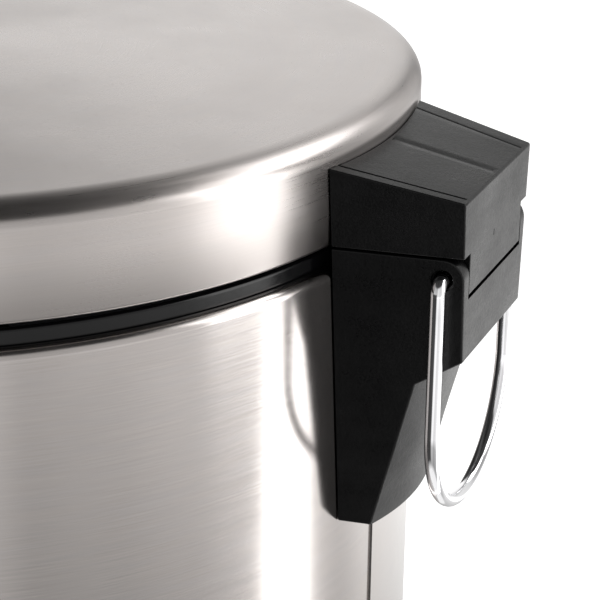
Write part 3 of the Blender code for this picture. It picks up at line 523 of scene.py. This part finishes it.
def make_body():
    seam = (SEAM_ANGLE, SEAM_ANGLE + math.radians(0.06))
    body = turned("outer_body_fine", body_profile(), sorted([*equal_angles(FULL_TURN), *seam]), lap)
    half, low_z, high_z = 4.5 * MM, EDGE_Z - 46.5 * MM, EDGE_Z - 17.5 * MM
    rod_slot = block("cut", (-half, 110 * MM, low_z), (half, 140 * MM, high_z))
    carve(body, rod_slot, pedal_slot(0, 0, -140 * MM, -100 * MM))
    put(clean(body), "bin_body", "brushed_steel", STEEL, "outer_body")


def lid_curve(offset):
    """The lid's surface from its centre to the end of its rounded edge, offset inwards."""
    width, depth, fullness = 9.0 * MM, 5.4 * MM, 2.2
    dome_steps, edge_steps = 16, 24
    crest_z = EDGE_Z + 25.3 * MM
    crest = RADIUS - width
    points = []
    for i in range(dome_steps):
        radius = crest * i / dome_steps
        z = crest_z + (TOP_Z - crest_z) * (1 - (radius / crest) ** 2)
        points.append((radius, z - offset))
    for i in range(edge_steps + 1):
        angle = math.radians(90 - 90 * i / edge_steps)
        across = abs(math.cos(angle)) ** (2 / fullness)
        up = abs(math.sin(angle)) ** (2 / fullness)
        points.append((crest + (width - offset) * across, crest_z - depth + (depth - offset) * up))
    return points


def make_lid():
    """The lid, its side leaning in a little towards the rounded hem."""
    hem = 1.0 * MM
    lean, lean_height = 3, 12 * MM
    reach = (lean_height - hem) / math.sin(math.radians(lean))
    profile = lid_curve(0.0)
    profile += arc((RADIUS - reach, HEM_Z + lean_height), reach, 0, -lean, 6)
    side = profile[-1][0]
    profile += arc((side - hem, HEM_Z + hem), hem, -lean, -180, 16)[1:]
    profile += [(side - 2 * hem, HEM_Z + 4 * MM), (INNER, HEM_Z + 4.6 * MM)]
    profile += reversed(lid_curve(SHEET))
    put(turned("lid_shell_fine", profile), "lid", "brushed_steel", LID_STEEL_WITH_PAINTED_SHADE, "lid_shell")


# Plastic rings and liner


def make_top_ring():
    low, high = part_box("top_rim_ring")
    neck, skirt, inner = 122.1 * MM, high.x, 112.5 * MM
    corners = [
        (inner, high.z, 0.8 * MM),
        (neck, high.z, 0.9 * MM),
        (neck, EDGE_Z - 9 * MM),
        (skirt, EDGE_Z - 10.5 * MM),
        (skirt, low.z),
        (skirt - 2.7 * MM, low.z),
        (inner, EDGE_Z - 9 * MM),
    ]
    ring = turned("top_rim_ring_fine", rounded(corners, 0.4 * MM, 5))
    put(ring, "bin_body", "black_plastic", RING, "top_rim_ring")


def make_base_ring():
    low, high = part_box("base_ring")
    ledge_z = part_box("outer_body")[0].z - GAP
    sleeve_inner, sleeve_outer = 121.5 * MM, 123.8 * MM
    floor_inner, floor_z = 107 * MM, 5.5 * MM
    corners = [
        (sleeve_inner, high.z),
        (sleeve_outer, high.z),
        (sleeve_outer, ledge_z),
        (high.x, ledge_z, 0.9 * MM),
        (high.x, low.z, 1.4 * MM),
        (floor_inner, low.z),
        (floor_inner, floor_z),
        (sleeve_inner, floor_z),
    ]
    ring = turned("base_ring_fine", rounded(corners, 0.4 * MM, 5))
    carve(ring, pedal_slot(8 * MM, 2.5 * MM, -140 * MM, -112 * MM))
    put(clean(ring), "bin_body", "black_plastic", BLACK, "base_ring")


def make_feet():
    """Rubber feet with a hollowed underside and a stem in the base ring."""
    stem, pad, pad_z = 2.2 * MM, 6.5 * MM, 2.7 * MM
    for place in ("front_left", "front_right", "rear_left", "rear_right"):
        name = f"foot_{place}"
        low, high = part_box(name)
        centre = (low + high) / 2
        corners = [(0, 0, 0), (stem, 0), (stem + 0.7 * MM, 0.5 * MM), (pad, 0, 0.5 * MM), (pad, pad_z)]
        corners += [(stem, pad_z, 0.1 * MM), (stem, high.z), (0, high.z, 0)]
        foot = turned(f"{name}_fine", rounded(corners, 0.3 * MM, 3), equal_angles(48))
        foot.data.transform(Matrix.Translation((centre.x, centre.y, 0)))
        put(foot, "bin_body", "rubber", RUBBER, name)


def make_lid_liner():
    """The lid's inner cap, with two raised rings on its underside."""
    low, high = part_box("lid_liner")
    skirt = high.x
    under_z = high.z - 1.5 * MM
    ridge_z = under_z - 0.8 * MM
    corners = [(0, high.z, 0), (skirt, high.z, 2.6 * MM), (skirt, low.z), (skirt - 1.7 * MM, low.z)]
    corners += [(skirt - 1.7 * MM, under_z, 2.0 * MM)]
    for ridge in (104 * MM, 70 * MM):
        corners += [(ridge, under_z), (ridge - 0.8 * MM, ridge_z)]
        corners += [(ridge - 2.0 * MM, ridge_z), (ridge - 2.8 * MM, under_z)]
    corners += [(0, under_z, 0)]
    liner = turned("lid_liner_fine", rounded(corners, 0.4 * MM, 4))
    put(liner, "lid", "liner_plastic", LINER, "lid_liner")


# Hinge


def hinge_half_width(y, z):
    """The hinge's sides taper a little towards the rear and towards the bottom."""
    return 23.05 * MM + 0.066 * (z - EDGE_Z) - 0.155 * (y - 155 * MM)


def tapered(name, outline, bulge=None):
    """A (y, z) outline whose two ends follow the hinge's sides. bulge moves the rear face out."""

    def place(y, z, t):
        out = bulge(y, z, t) if bulge else 0.0
        return t * hinge_half_width(y, z), y + out, z

    return lofted(name, outline, place, spread(-1, 1, 21))


def shell_cutter():
    """A tall cutter just outside the body's and the lid's outer surface."""
    radius, low_z, high_z = RADIUS + GAP, 250 * MM, TOP_Z + 20 * MM
    return turned("cut", [(0, high_z), (radius, high_z), (radius, low_z), (0, low_z)])


def bore(centre, radius, x_low, x_high, sides=36):
    """A cutter of a round hole along X at a (y, z) centre."""
    return plate("cut", circle(centre, radius, sides), x_low, x_high)


def make_hinge_bracket():
    """The bracket: two cheeks with the knuckle's seat between them, over a hollow for the rod."""
    low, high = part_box("hinge_bracket")
    rear_low = EDGE_Z - 26.6 * MM
    crease_z = EDGE_Z - 33.7 * MM
    corners = [
        (HINGE_FRONT_Y, low.z, 0),
        (131.1 * MM, low.z, 0.5 * MM),
        (141.5 * MM, crease_z, 1.0 * MM),
        (REAR_Y, rear_low, 0.8 * MM),
        (REAR_Y, high.z, 4.9 * MM),
        (HINGE_FRONT_Y, high.z, 0),
    ]

    def bulge(y, z, t):
        if y < 127 * MM or z > crease_z:
            return 0.0
        return 4.0 * MM * (1 - t * t) * min(1.0, (crease_z - z) / (crease_z - low.z))

    outline = rounded(corners, steps=8)
    bracket = bevel(tapered("hinge_bracket_fine", outline, bulge), 0.6 * MM)
    above_z = EDGE_Z + 5 * MM
    shaft_front, shaft_rear, shaft_half_width = HINGE_FRONT_Y - 2 * MM, REAR_Y - 3 * MM, 8.5 * MM
    shaft = [
        (shaft_front, above_z),
        (shaft_front, low.z + 4 * MM),
        (129.0 * MM, low.z + 4 * MM),
        (138.8 * MM, EDGE_Z - 32.0 * MM),
        (shaft_rear, EDGE_Z - 25.0 * MM),
        (shaft_rear, above_z),
    ]
    cheek = 19.5 * MM
    seat = 7.3 * MM
    carve(
        bracket,
        shell_cutter(),
        plate("cut", shaft, -shaft_half_width, shaft_half_width),
        bore(HINGE_YZ, seat, -cheek, cheek, 144),
        block("cut", (-cheek, HINGE.y - seat, HINGE.z), (cheek, REAR_Y + 5 * MM, above_z)),
        bore(HINGE_YZ, PIN_BORE, -40 * MM, 40 * MM),
    )
    for side in (-1, 1):
        outer = side * hinge_half_width(*HINGE_YZ)
        ends = sorted((outer - side * 0.7 * MM, outer + side * 2 * MM))
        carve(bracket, bore(HINGE_YZ, 2.75 * MM, *ends, 48))
    put(clean(bracket), "bin_body", "black_plastic", BLACK, "hinge_bracket")


def make_lid_block():
    """The lid's block, with its knuckle, its crank's fork and three shallow grooves on top."""
    foot_z = EDGE_Z - 0.4 * MM
    slope = 0.1776

    def top_z(y):
        return EDGE_Z + 13.2 * MM + (REAR_Y - y) * slope

    corners = [
        (HINGE_FRONT_Y, foot_z, 0),
        (REAR_Y, foot_z, 0.35 * MM),
        (REAR_Y, top_z(REAR_Y), 0.7 * MM),
        (HINGE_FRONT_Y, top_z(HINGE_FRONT_Y), 0),
    ]
    body = bevel(tapered("lid_hinge_block_fine", rounded(corners, steps=6)), 0.7 * MM)

    def top_groove(x_at, width, depth, y_from, y_to):
        """A V-shaped groove in the sloping top, along the block. The width is at the surface."""
        section = [
            (y_from, top_z(y_from) - depth),
            (y_to, top_z(y_to) - depth),
            (y_to, top_z(y_to) + depth),
            (y_from, top_z(y_from) + depth),
        ]

        def place(y, z, side):
            share = 1.75 if z > top_z(y) else 0.25
            return x_at(y) + side * width * share / 2, y, z

        return lofted("cut", section, place, (-1, 1))

    def beside(side, inset):
        return lambda y: side * (hinge_half_width(y, EDGE_Z + 15 * MM) - inset)

    grooves = [
        top_groove(lambda y: 0.0, 3.0 * MM, 0.26 * MM, 126 * MM, 150.9 * MM),
        top_groove(beside(1, 3.2 * MM), 0.8 * MM, 0.2 * MM, 110 * MM, 151.6 * MM),
        top_groove(beside(-1, 5.4 * MM), 1.0 * MM, 0.2 * MM, 110 * MM, 151.6 * MM),
    ]
    knuckle_radius, knuckle_half_width = 4.9 * MM, 19.2 * MM
    knuckle_corner = (REAR_Y - 0.6 * MM, HINGE.z - 4.1 * MM)
    knuckle = arc(HINGE_YZ, knuckle_radius, 180, 262, 14)
    knuckle += arc(knuckle_corner, 0.6 * MM, -90, 0, 5)
    knuckle += [(REAR_Y, foot_z + 3 * MM), (HINGE.y - knuckle_radius, foot_z + 3 * MM)]
    low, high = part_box("crank_link_pin")
    pin_yz = tuple(((low + high) / 2).yz)
    down = math.degrees(math.atan2(pin_yz[1] - HINGE.z, pin_yz[0] - HINGE.y)) % 360
    fork = arc(pin_yz, 3.4 * MM, down - 90, down + 90, 16)
    fork += arc(HINGE_YZ, 4.5 * MM, down + 90, down + 270, 16)
    fork_inner, fork_outer = 3.4 * MM, 6.4 * MM
    carve(body, shell_cutter(), *grooves)
    join(
        body,
        bevel(plate("add", knuckle, -knuckle_half_width, knuckle_half_width), 0.25 * MM),
        plate("add", fork, -fork_outer, -fork_inner),
        plate("add", fork, fork_inner, fork_outer),
    )
    nick_low = (1.9 * MM, REAR_Y - 0.25 * MM, EDGE_Z - 1.6 * MM)
    nick_high = (2.35 * MM, REAR_Y + 1 * MM, EDGE_Z)
    carve(
        body,
        bore(HINGE_YZ, PIN_BORE, -40 * MM, 40 * MM),
        bore(pin_yz, 1.8 * MM, -15 * MM, 15 * MM),
        block("cut", nick_low, nick_high),
    )
    put(clean(body), "lid", "black_plastic", BLACK, "lid_hinge_block")


def make_pins():
    """The steel pins that lie along X. The pedal's pivot pin has a head."""
    pins = {
        "hinge_pin": "bin_body",
        "crank_link_pin": "lid",
        "lever_link_pin": "pedal",
        "pedal_pivot_pin": "bin_body",
    }
    for name, body in pins.items():
        low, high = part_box(name)
        _, y, z = (low + high) / 2
        headed = name == "pedal_pivot_pin"
        radius = 2 * MM if headed else (high.z - low.z) / 2
        pin = rod(f"{name}_fine", (low.x, y, z), (high.x, y, z), radius)
        if headed:
            head_x = high.x - 2.5 * MM
            join(pin, rod("head", (head_x, y, z), (head_x + 2 * MM, y, z), 3.6 * MM, 0.5 * MM))
        put(pin, body, "zinc_steel", ZINC, name)


def make_screw(name, body, axis, shank, head, height):
    """A pan-head screw with a cross recess. Its head is at the low end of the axis."""
    low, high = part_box(name)
    start = (low + high) / 2
    start[axis] = low[axis]
    length = high[axis] - low[axis]
    corners = [(0, 0, 0), (head, 0, height * 0.7), (head, height, 0.1 * MM)]
    corners += [(shank, height, 0.1 * MM), (shank, length, 0.5 * MM), (0, length, 0)]
    screw = turned(f"{name}_fine", rounded(corners, 0.2 * MM, 5), equal_angles(40))
    deep, slim, wide = height * 0.75, head * 0.11, head * 0.5
    carve(
        screw,
        block("cut", (-slim, -wide, -1 * MM), (slim, wide, deep)),
        block("cut", (-wide, -slim, -1 * MM), (wide, slim, deep)),
    )
    way = Vector((0, 0, 0))
    way[axis] = 1
    turn = Vector((0, 0, 1)).rotation_difference(way).to_matrix().to_4x4()
    screw.data.transform(Matrix.Translation(start) @ turn)
    put(clean(screw), body, "zinc_steel", ZINC, name)


def make_screws():
    along_y, along_z = 1, 2
    for height in ("upper", "lower"):
        for side in ("left", "right"):
            name = f"bracket_screw_{height}_{side}"
            make_screw(name, "bin_body", along_y, 1.5 * MM, 3.0 * MM, 1.8 * MM)
    for side in ("left", "right"):
        make_screw(f"lid_screw_{side}", "lid", along_y, 1.5 * MM, 3.0 * MM, 1.4 * MM)
    for side in ("front", "rear"):
        name = f"pedal_bracket_screw_{side}"
        make_screw(name, "bin_body", along_z, 1.9 * MM, 3.4 * MM, 1.8 * MM)


def mirrored(points):
    """The other half of a bail, from its middle to its far end."""
    return [Vector((-point.x, point.y, point.z)) for point in reversed(points)]


def make_carry_handle():
    low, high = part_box("carry_handle")
    radius = (high.y - low.y) / 2
    half = high.x - radius
    bend_z = low.z + radius + half
    corners = [(21.9 * MM, *HINGE_YZ), (half, *HINGE_YZ), (half, HINGE.y, bend_z)]
    near = rounded_path(corners, 2.6 * MM, 12)
    bottom = [Vector((x, HINGE.y, z)) for x, z in arc((0.0, bend_z), half, 0, -180, 72)[1:-1]]
    handle = wire("carry_handle_fine", near + bottom + mirrored(near), radius)
    put(handle, "handle", "chrome_wire", CHROME, "carry_handle")


# Bucket


def make_bucket():
    """The bucket, with a rolled rim and two lugs that hold its handle."""
    low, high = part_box("inner_bucket")
    rim, rim_z = high.x, BAIL_Z - 1.9 * MM
    wall = 1.6 * MM
    foot, mouth = 97 * MM, 109.5 * MM
    hollow_z = low.z + 0.8 * MM
    corners = [
        (0, low.z + wall, 0),
        (foot - wall, low.z + wall, 4 * MM),
        (mouth - wall, rim_z, 1.2 * MM),
        (rim, rim_z, 0.6 * MM),
        (rim, rim_z - wall, 0.6 * MM),
        (mouth, rim_z - wall, 0.8 * MM),
        (foot, low.z, 4 * MM),
        (foot - 9 * MM, low.z, 0.5 * MM),
        (foot - 10 * MM, hollow_z, 0.5 * MM),
        (0, hollow_z, 0),
    ]
    bucket = turned("inner_bucket_fine", rounded(corners, steps=6))
    lug_half, lug_foot, lug_top = 5 * MM, rim_z - 0.5 * MM, BAIL_Z + 4 * MM
    lug = [(-lug_half, lug_foot, 0), (lug_half, lug_foot, 0)]
    lug += [(lug_half, lug_top, 3.5 * MM), (-lug_half, lug_top, 3.5 * MM)]
    for side in (-1, 1):
        ends = sorted((side * 111 * MM, side * 114 * MM))
        tab = bevel(plate("add", rounded(lug, steps=8), *ends), 0.3 * MM)
        carve(tab, bore((0, BAIL_Z), 1.8 * MM, -130 * MM, 130 * MM, 30))
        join(bucket, tab)
    put(clean(bucket), "bucket", "bucket_plastic", BUCKET, "inner_bucket")


def make_bucket_handle():
    radius = 1.5 * MM
    ring = -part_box("bucket_handle")[0].y - radius
    rim = [Vector((x, y, BAIL_Z)) for x, y in arc((0.0, 0.0), ring, -4, -176, 90)]
    near = rounded_path([(109 * MM, 0, BAIL_Z), (ring, 0, BAIL_Z), rim[0]], 2 * MM, 10)
    handle = wire("bucket_handle_fine", near + rim[1:-1] + mirrored(near), radius)
    put(handle, "bucket_bail", "zinc_steel", ZINC, "bucket_handle")


# Pedal


def make_tread():
    """The tread has a curved front, five grooves across its top and a pocket for the lever."""
    pivot = Vector(JOINTS["pedal_pivot"]["pos_m"])
    rest = math.radians(JOINTS["pedal_pivot"]["range_deg"][1]) / 2
    half_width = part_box("pedal_tread")[1].x
    front = -REAR_Y - pivot.y
    rear = front + 24.4 * MM
    foot_z, top_z = -4.5 * MM, 5.5 * MM
    curve = 70 * MM
    reach = math.degrees(math.asin(half_width / curve))
    nose = arc((0, front + curve), curve, -90 - reach, -90 + reach, 48)
    corners = [(*nose[-1], 2.5 * MM), (half_width, rear, 2 * MM)]
    corners += [(-half_width, rear, 2 * MM), (*nose[0], 2.5 * MM)]
    outline = rounded(corners, steps=6) + nose[4:-4]
    tread = bevel(slab("pedal_tread_fine", outline, foot_z, top_z), 1.0 * MM, 4)
    grooves = []
    groove_low, groove_high = top_z - 0.7 * MM, top_z + 1.5 * MM
    for i in range(5):
        y = front + (7.0 + 3.2 * i) * MM
        groove = [(y - 0.8 * MM, groove_low), (y + 0.8 * MM, groove_low)]
        groove += [(y + 0.9 * MM, groove_high), (y - 0.9 * MM, groove_high)]
        grooves.append(plate("cut", rounded(groove), -half_width + 4 * MM, half_width - 4 * MM))
    pocket_half_width, pocket_half_height = 9.3 * MM, 1.8 * MM
    pocket_low = (-pocket_half_width, front + 4.7 * MM, -pocket_half_height)
    pocket_high = (pocket_half_width, rear + 5 * MM, pocket_half_height)
    screw_y = front + 12 * MM
    screw_bore = rod("cut", (0, screw_y, -9 * MM), (0, screw_y, 4.2 * MM), 2.2 * MM)
    carve(tread, block("cut", pocket_low, pocket_high), screw_bore, *grooves)
    tread.data.transform(Matrix.Translation(pivot) @ Matrix.Rotation(-rest, 4, "X"))
    put(clean(tread), "pedal", "black_plastic", BLACK, "pedal_tread")


def refined(name, body, slot, material, width):
    """A copy of a CAD node's mesh with its flat faces merged and its sharp edges rounded."""
    source = frame["nodes"][name]
    obj = bpy.data.objects.new(f"{name}_fine", source.data.copy())
    bpy.context.scene.collection.objects.link(obj)
    shape = bmesh.new()
    shape.from_mesh(obj.data)
    bmesh.ops.remove_doubles(shape, verts=shape.verts, dist=0.002 * MM)
    flat = math.radians(0.6)
    bmesh.ops.dissolve_limit(shape, angle_limit=flat, verts=shape.verts, edges=shape.edges)
    shape.to_mesh(obj.data)
    shape.free()
    put(bevel(obj, width, 2, 35), body, slot, material, name)


def make_mechanism():
    """Pieces whose CAD shape is kept and only gets its edges rounded."""
    zinc, plastic, rubber = ("zinc_steel", ZINC), ("black_plastic", BLACK), ("rubber", RUBBER)
    for name in ("bottom_plate", "pedal_bracket", "pedal_pin_clip", "hinge_backing_plate"):
        refined(name, "bin_body", *zinc, 0.2 * MM)
    for name in ("rod_guide_lower", "rod_guide_upper"):
        refined(name, "bin_body", *plastic, 0.3 * MM)
    for name in ("pedal_lever", "pedal_tread_screw"):
        refined(name, "pedal", *zinc, 0.25 * MM)
    refined("push_rod", "rod", *zinc, 0.2 * MM)
    for name in ("front", "left", "right"):
        refined(f"lid_buffer_{name}", "lid", *rubber, 0.2 * MM)


# Stage


# The room's panels. Each has its levels of light at azimuths from 0 to 360 degrees (0 is +X and 90 is
# the rear) and its shares of them at elevations from -90 to 90. The brightest panel counts, and the
# table's level, by elevation only, is the least there is.
BRIGHTEST = 5.0
TABLE = [(-90, 1.05), (-60, 1.0), (-48, 0.06), (0, 0.04), (90, 0.03)]
NEAR_WALLS = (
    [(0, 0.08), (4, 0.12), (10, 0.8), (18, 1.15), (38, 1.15), (48, 0.92), (60, 1.02), (71, 1.14)]
    + [(83, 1.25), (90, 1.2), (112, 1.2), (116, 0.7), (124, 0.5), (135, 0.65), (148, 1.1), (166, 1.2)]
    + [(178, 0.8), (186, 0), (360, 0)],
    [(-90, 0), (-24.5, 0), (-22.5, 1.05), (-17, 1.18), (-8, 0.76), (34, 0.7), (46, 0.05), (90, 0.03)],
)
LOW_WALLS = (
    [(0, 0.08), (4, 0.12), (10, 0.8), (18, 1.15), (38, 1.1), (48, 0.78), (60, 0.87), (71, 0.89)]
    + [(83, 1.05), (90, 1.12), (99, 1.32), (106, 1.4), (130, 1.7), (134, 1.45), (138, 1.3)]
    + [(150, 1.75), (164, 1.65), (200, 1.2), (262, 0.85), (290, 0.6), (303, 0.3), (312, 0.1)]
    + [(325, 0.05), (360, 0.08)],
    [(-90, 0.4), (-50, 0.4), (-34, 0.5), (-27.5, 0.95), (-23.5, 1.04), (-21.5, 0), (90, 0)],
)
SIDE_WALL = (
    [(0, 0), (183, 0), (190, 0.95), (200, 1.12), (203, 1.16), (206, 0), (360, 0)],
    [(-90, 0), (-24, 0), (-21, 1), (24, 1), (28, 0.85), (35, 0.6), (42, 0.2), (50, 0.03), (90, 0.02)],
)
FAR_WALLS = (
    [(0, 0.08), (196, 0), (203, 1.2), (206, 1.28), (208, 1.16), (215, 1.12), (240, 1), (262, 0.85)]
    + [(290, 0.6), (303, 0.3), (312, 0.1), (325, 0.05), (360, 0.08)],
    [(-90, 0), (-24, 0), (-21, 1), (21, 1), (25, 0.64), (31, 0.28), (38, 0.08), (50, 0.03), (90, 0.02)],
)
CAMERA_WALL = (
    [(0, 0.55), (12, 0.5), (20, 0), (286, 0), (296, 0.6), (360, 0.55)],
    [(-90, 0), (-4, 0), (4, 1), (34, 0.8), (46, 0.1), (90, 0.03)],
)
LOW_LAMP = (
    [(0, 0), (106.5, 0), (108, 0.6), (112, 5), (124, 5), (127, 0), (360, 0)],
    [(-90, 1), (-24, 1), (-22.5, 0), (90, 0)],
)
MAIN_LAMP = (
    [(0, 0), (90, 0), (93, 4.6), (111, 4.6), (115, 0), (360, 0)],
    [(-90, 0), (-21.5, 0), (-19, 1), (30, 1), (38, 0.6), (52, 0), (90, 0)],
)
HIGH_LAMP = (
    [(0, 0), (108, 0), (122, 4.2), (168, 4.2), (178, 2), (185, 0.9), (189, 0), (360, 0)],
    [(-90, 0), (30, 0), (38, 1), (50, 1), (55, 0), (90, 0)],
)
PANELS = (NEAR_WALLS, LOW_WALLS, SIDE_WALL, FAR_WALLS, CAMERA_WALL, LOW_LAMP, MAIN_LAMP, HIGH_LAMP)


def make_world():
    """A studio: bright walls, three lamps, a dark side by the camera and a dark ceiling."""
    world = bpy.data.worlds.new("studio")
    world.use_nodes = True
    bpy.context.scene.world = world
    tree = world.node_tree
    tree.nodes.clear()
    way = node(tree, "TexCoord").outputs["Generated"]
    parts = node(tree, "SeparateXYZ", {"Vector": way}).outputs
    azimuth = maths(tree, "DIVIDE", maths(tree, "ARCTAN2", parts["Y"], parts["X"]), 2 * math.pi)
    azimuth = maths(tree, "FRACT", maths(tree, "ADD", azimuth, 1.0))
    elevation = maths(tree, "DIVIDE", maths(tree, "ARCSINE", parts["Z"]), math.pi / 2)

    def ramp(value, stops, whole):
        """The level at the value. The stops' places are degrees, and a value of 1 is the whole."""
        made = node(tree, "ValToRGB", {"Fac": value})
        points = made.color_ramp.elements
        for place, _ in stops[2:]:
            points.new(place / whole)
        for point, (place, level) in zip(points, stops):
            point.position = place / whole
            point.color = (*[level / BRIGHTEST] * 3, 1.0)
        return maths(tree, "MULTIPLY", made.outputs["Color"], BRIGHTEST)

    height = maths(tree, "ADD", maths(tree, "MULTIPLY", elevation, 0.5), 0.5)

    def upward(stops):
        return ramp(height, [(place + 90.0, level) for place, level in stops], 180.0)

    level = upward(TABLE)
    for around, up in PANELS:
        panel = maths(tree, "MULTIPLY", ramp(azimuth, around, 360.0), upward(up))
        level = maths(tree, "MAXIMUM", level, panel)
    seen = node(tree, "LightPath").outputs["Is Camera Ray"]
    light = node(tree, "Background", {"Color": (1.0, 0.995, 0.985, 1.0), "Strength": level})
    pale = node(tree, "Background", {"Color": (1.0, 1.0, 1.0, 1.0), "Strength": 1.0})
    both = node(tree, "MixShader", {0: seen, 1: light.outputs[0], 2: pale.outputs[0]})
    out = node(tree, "OutputWorld")
    tree.links.new(both.outputs[0], out.inputs["Surface"])


def make_floor():
    """A pale round floor that glows a little. The glow drops almost to nothing under and around the bin:
    a painted contact shadow.
    """
    outline = circle((0.0, 0.0), 5.0, 96)
    floor = mesh_object("floor", [(x, y, 0.0) for x, y in outline], [list(range(96))])
    material, tree, shader = new_material("floor")
    shader.inputs["Base Color"].default_value = (0.8, 0.8, 0.8, 1.0)
    shader.inputs["Roughness"].default_value = 1.0
    shader.inputs["Specular IOR Level"].default_value = 0.0
    shader.inputs["Emission Color"].default_value = (1.0, 1.0, 1.0, 1.0)
    place = node(tree, "TexCoord").outputs["Object"]
    reach = node(tree, "VectorMath", {0: place}, operation="LENGTH").outputs["Value"]
    # Painted shadow: the glow rises from 0.04 to 0.75 between 90 mm and 135 mm from the centre, under
    # the bin and at its foot.
    glow_with_painted_shadow = ranged(tree, reach, 90 * MM, 135 * MM, 0.04, 0.75)
    tree.links.new(glow_with_painted_shadow, shader.inputs["Emission Strength"])
    floor.data.materials.append(material)
    floor.visible_glossy = False


def make_camera():
    """The photograph's view: a little above the hinge, from the right and the rear."""
    azimuth, elevation, roll = (math.radians(angle) for angle in (22.997, 22.772, 0.658))
    target = Vector((83.9 * MM, 138.1 * MM, EDGE_Z + 10.6 * MM))
    distance = 380 * MM
    level = Vector((-math.sin(azimuth), math.cos(azimuth), 0.0))
    back = Vector((math.cos(azimuth), math.sin(azimuth), 0.0)) * math.cos(elevation)
    back.z = math.sin(elevation)
    above = back.cross(level)
    right = level * math.cos(roll) + above * math.sin(roll)
    up = above * math.cos(roll) - level * math.sin(roll)
    data = bpy.data.cameras.new("camera")
    data.lens = 115.27
    data.sensor_width = 36.0
    data.clip_start = 0.01
    camera = bpy.data.objects.new("camera", data)
    bpy.context.scene.collection.objects.link(camera)
    turn = Matrix((right, up, back)).transposed().to_4x4()
    camera.matrix_world = Matrix.Translation(target + back * distance) @ turn
    bpy.context.scene.camera = camera


def main():
    make_body()
    make_lid()
    make_top_ring()
    make_base_ring()
    make_feet()
    make_lid_liner()
    make_hinge_bracket()
    make_lid_block()
    make_pins()
    make_screws()
    make_carry_handle()
    make_bucket()
    make_bucket_handle()
    make_tread()
    make_mechanism()
    make_world()
    make_floor()
    make_camera()
    bpy.context.scene.view_settings.view_transform = "Standard"


main()
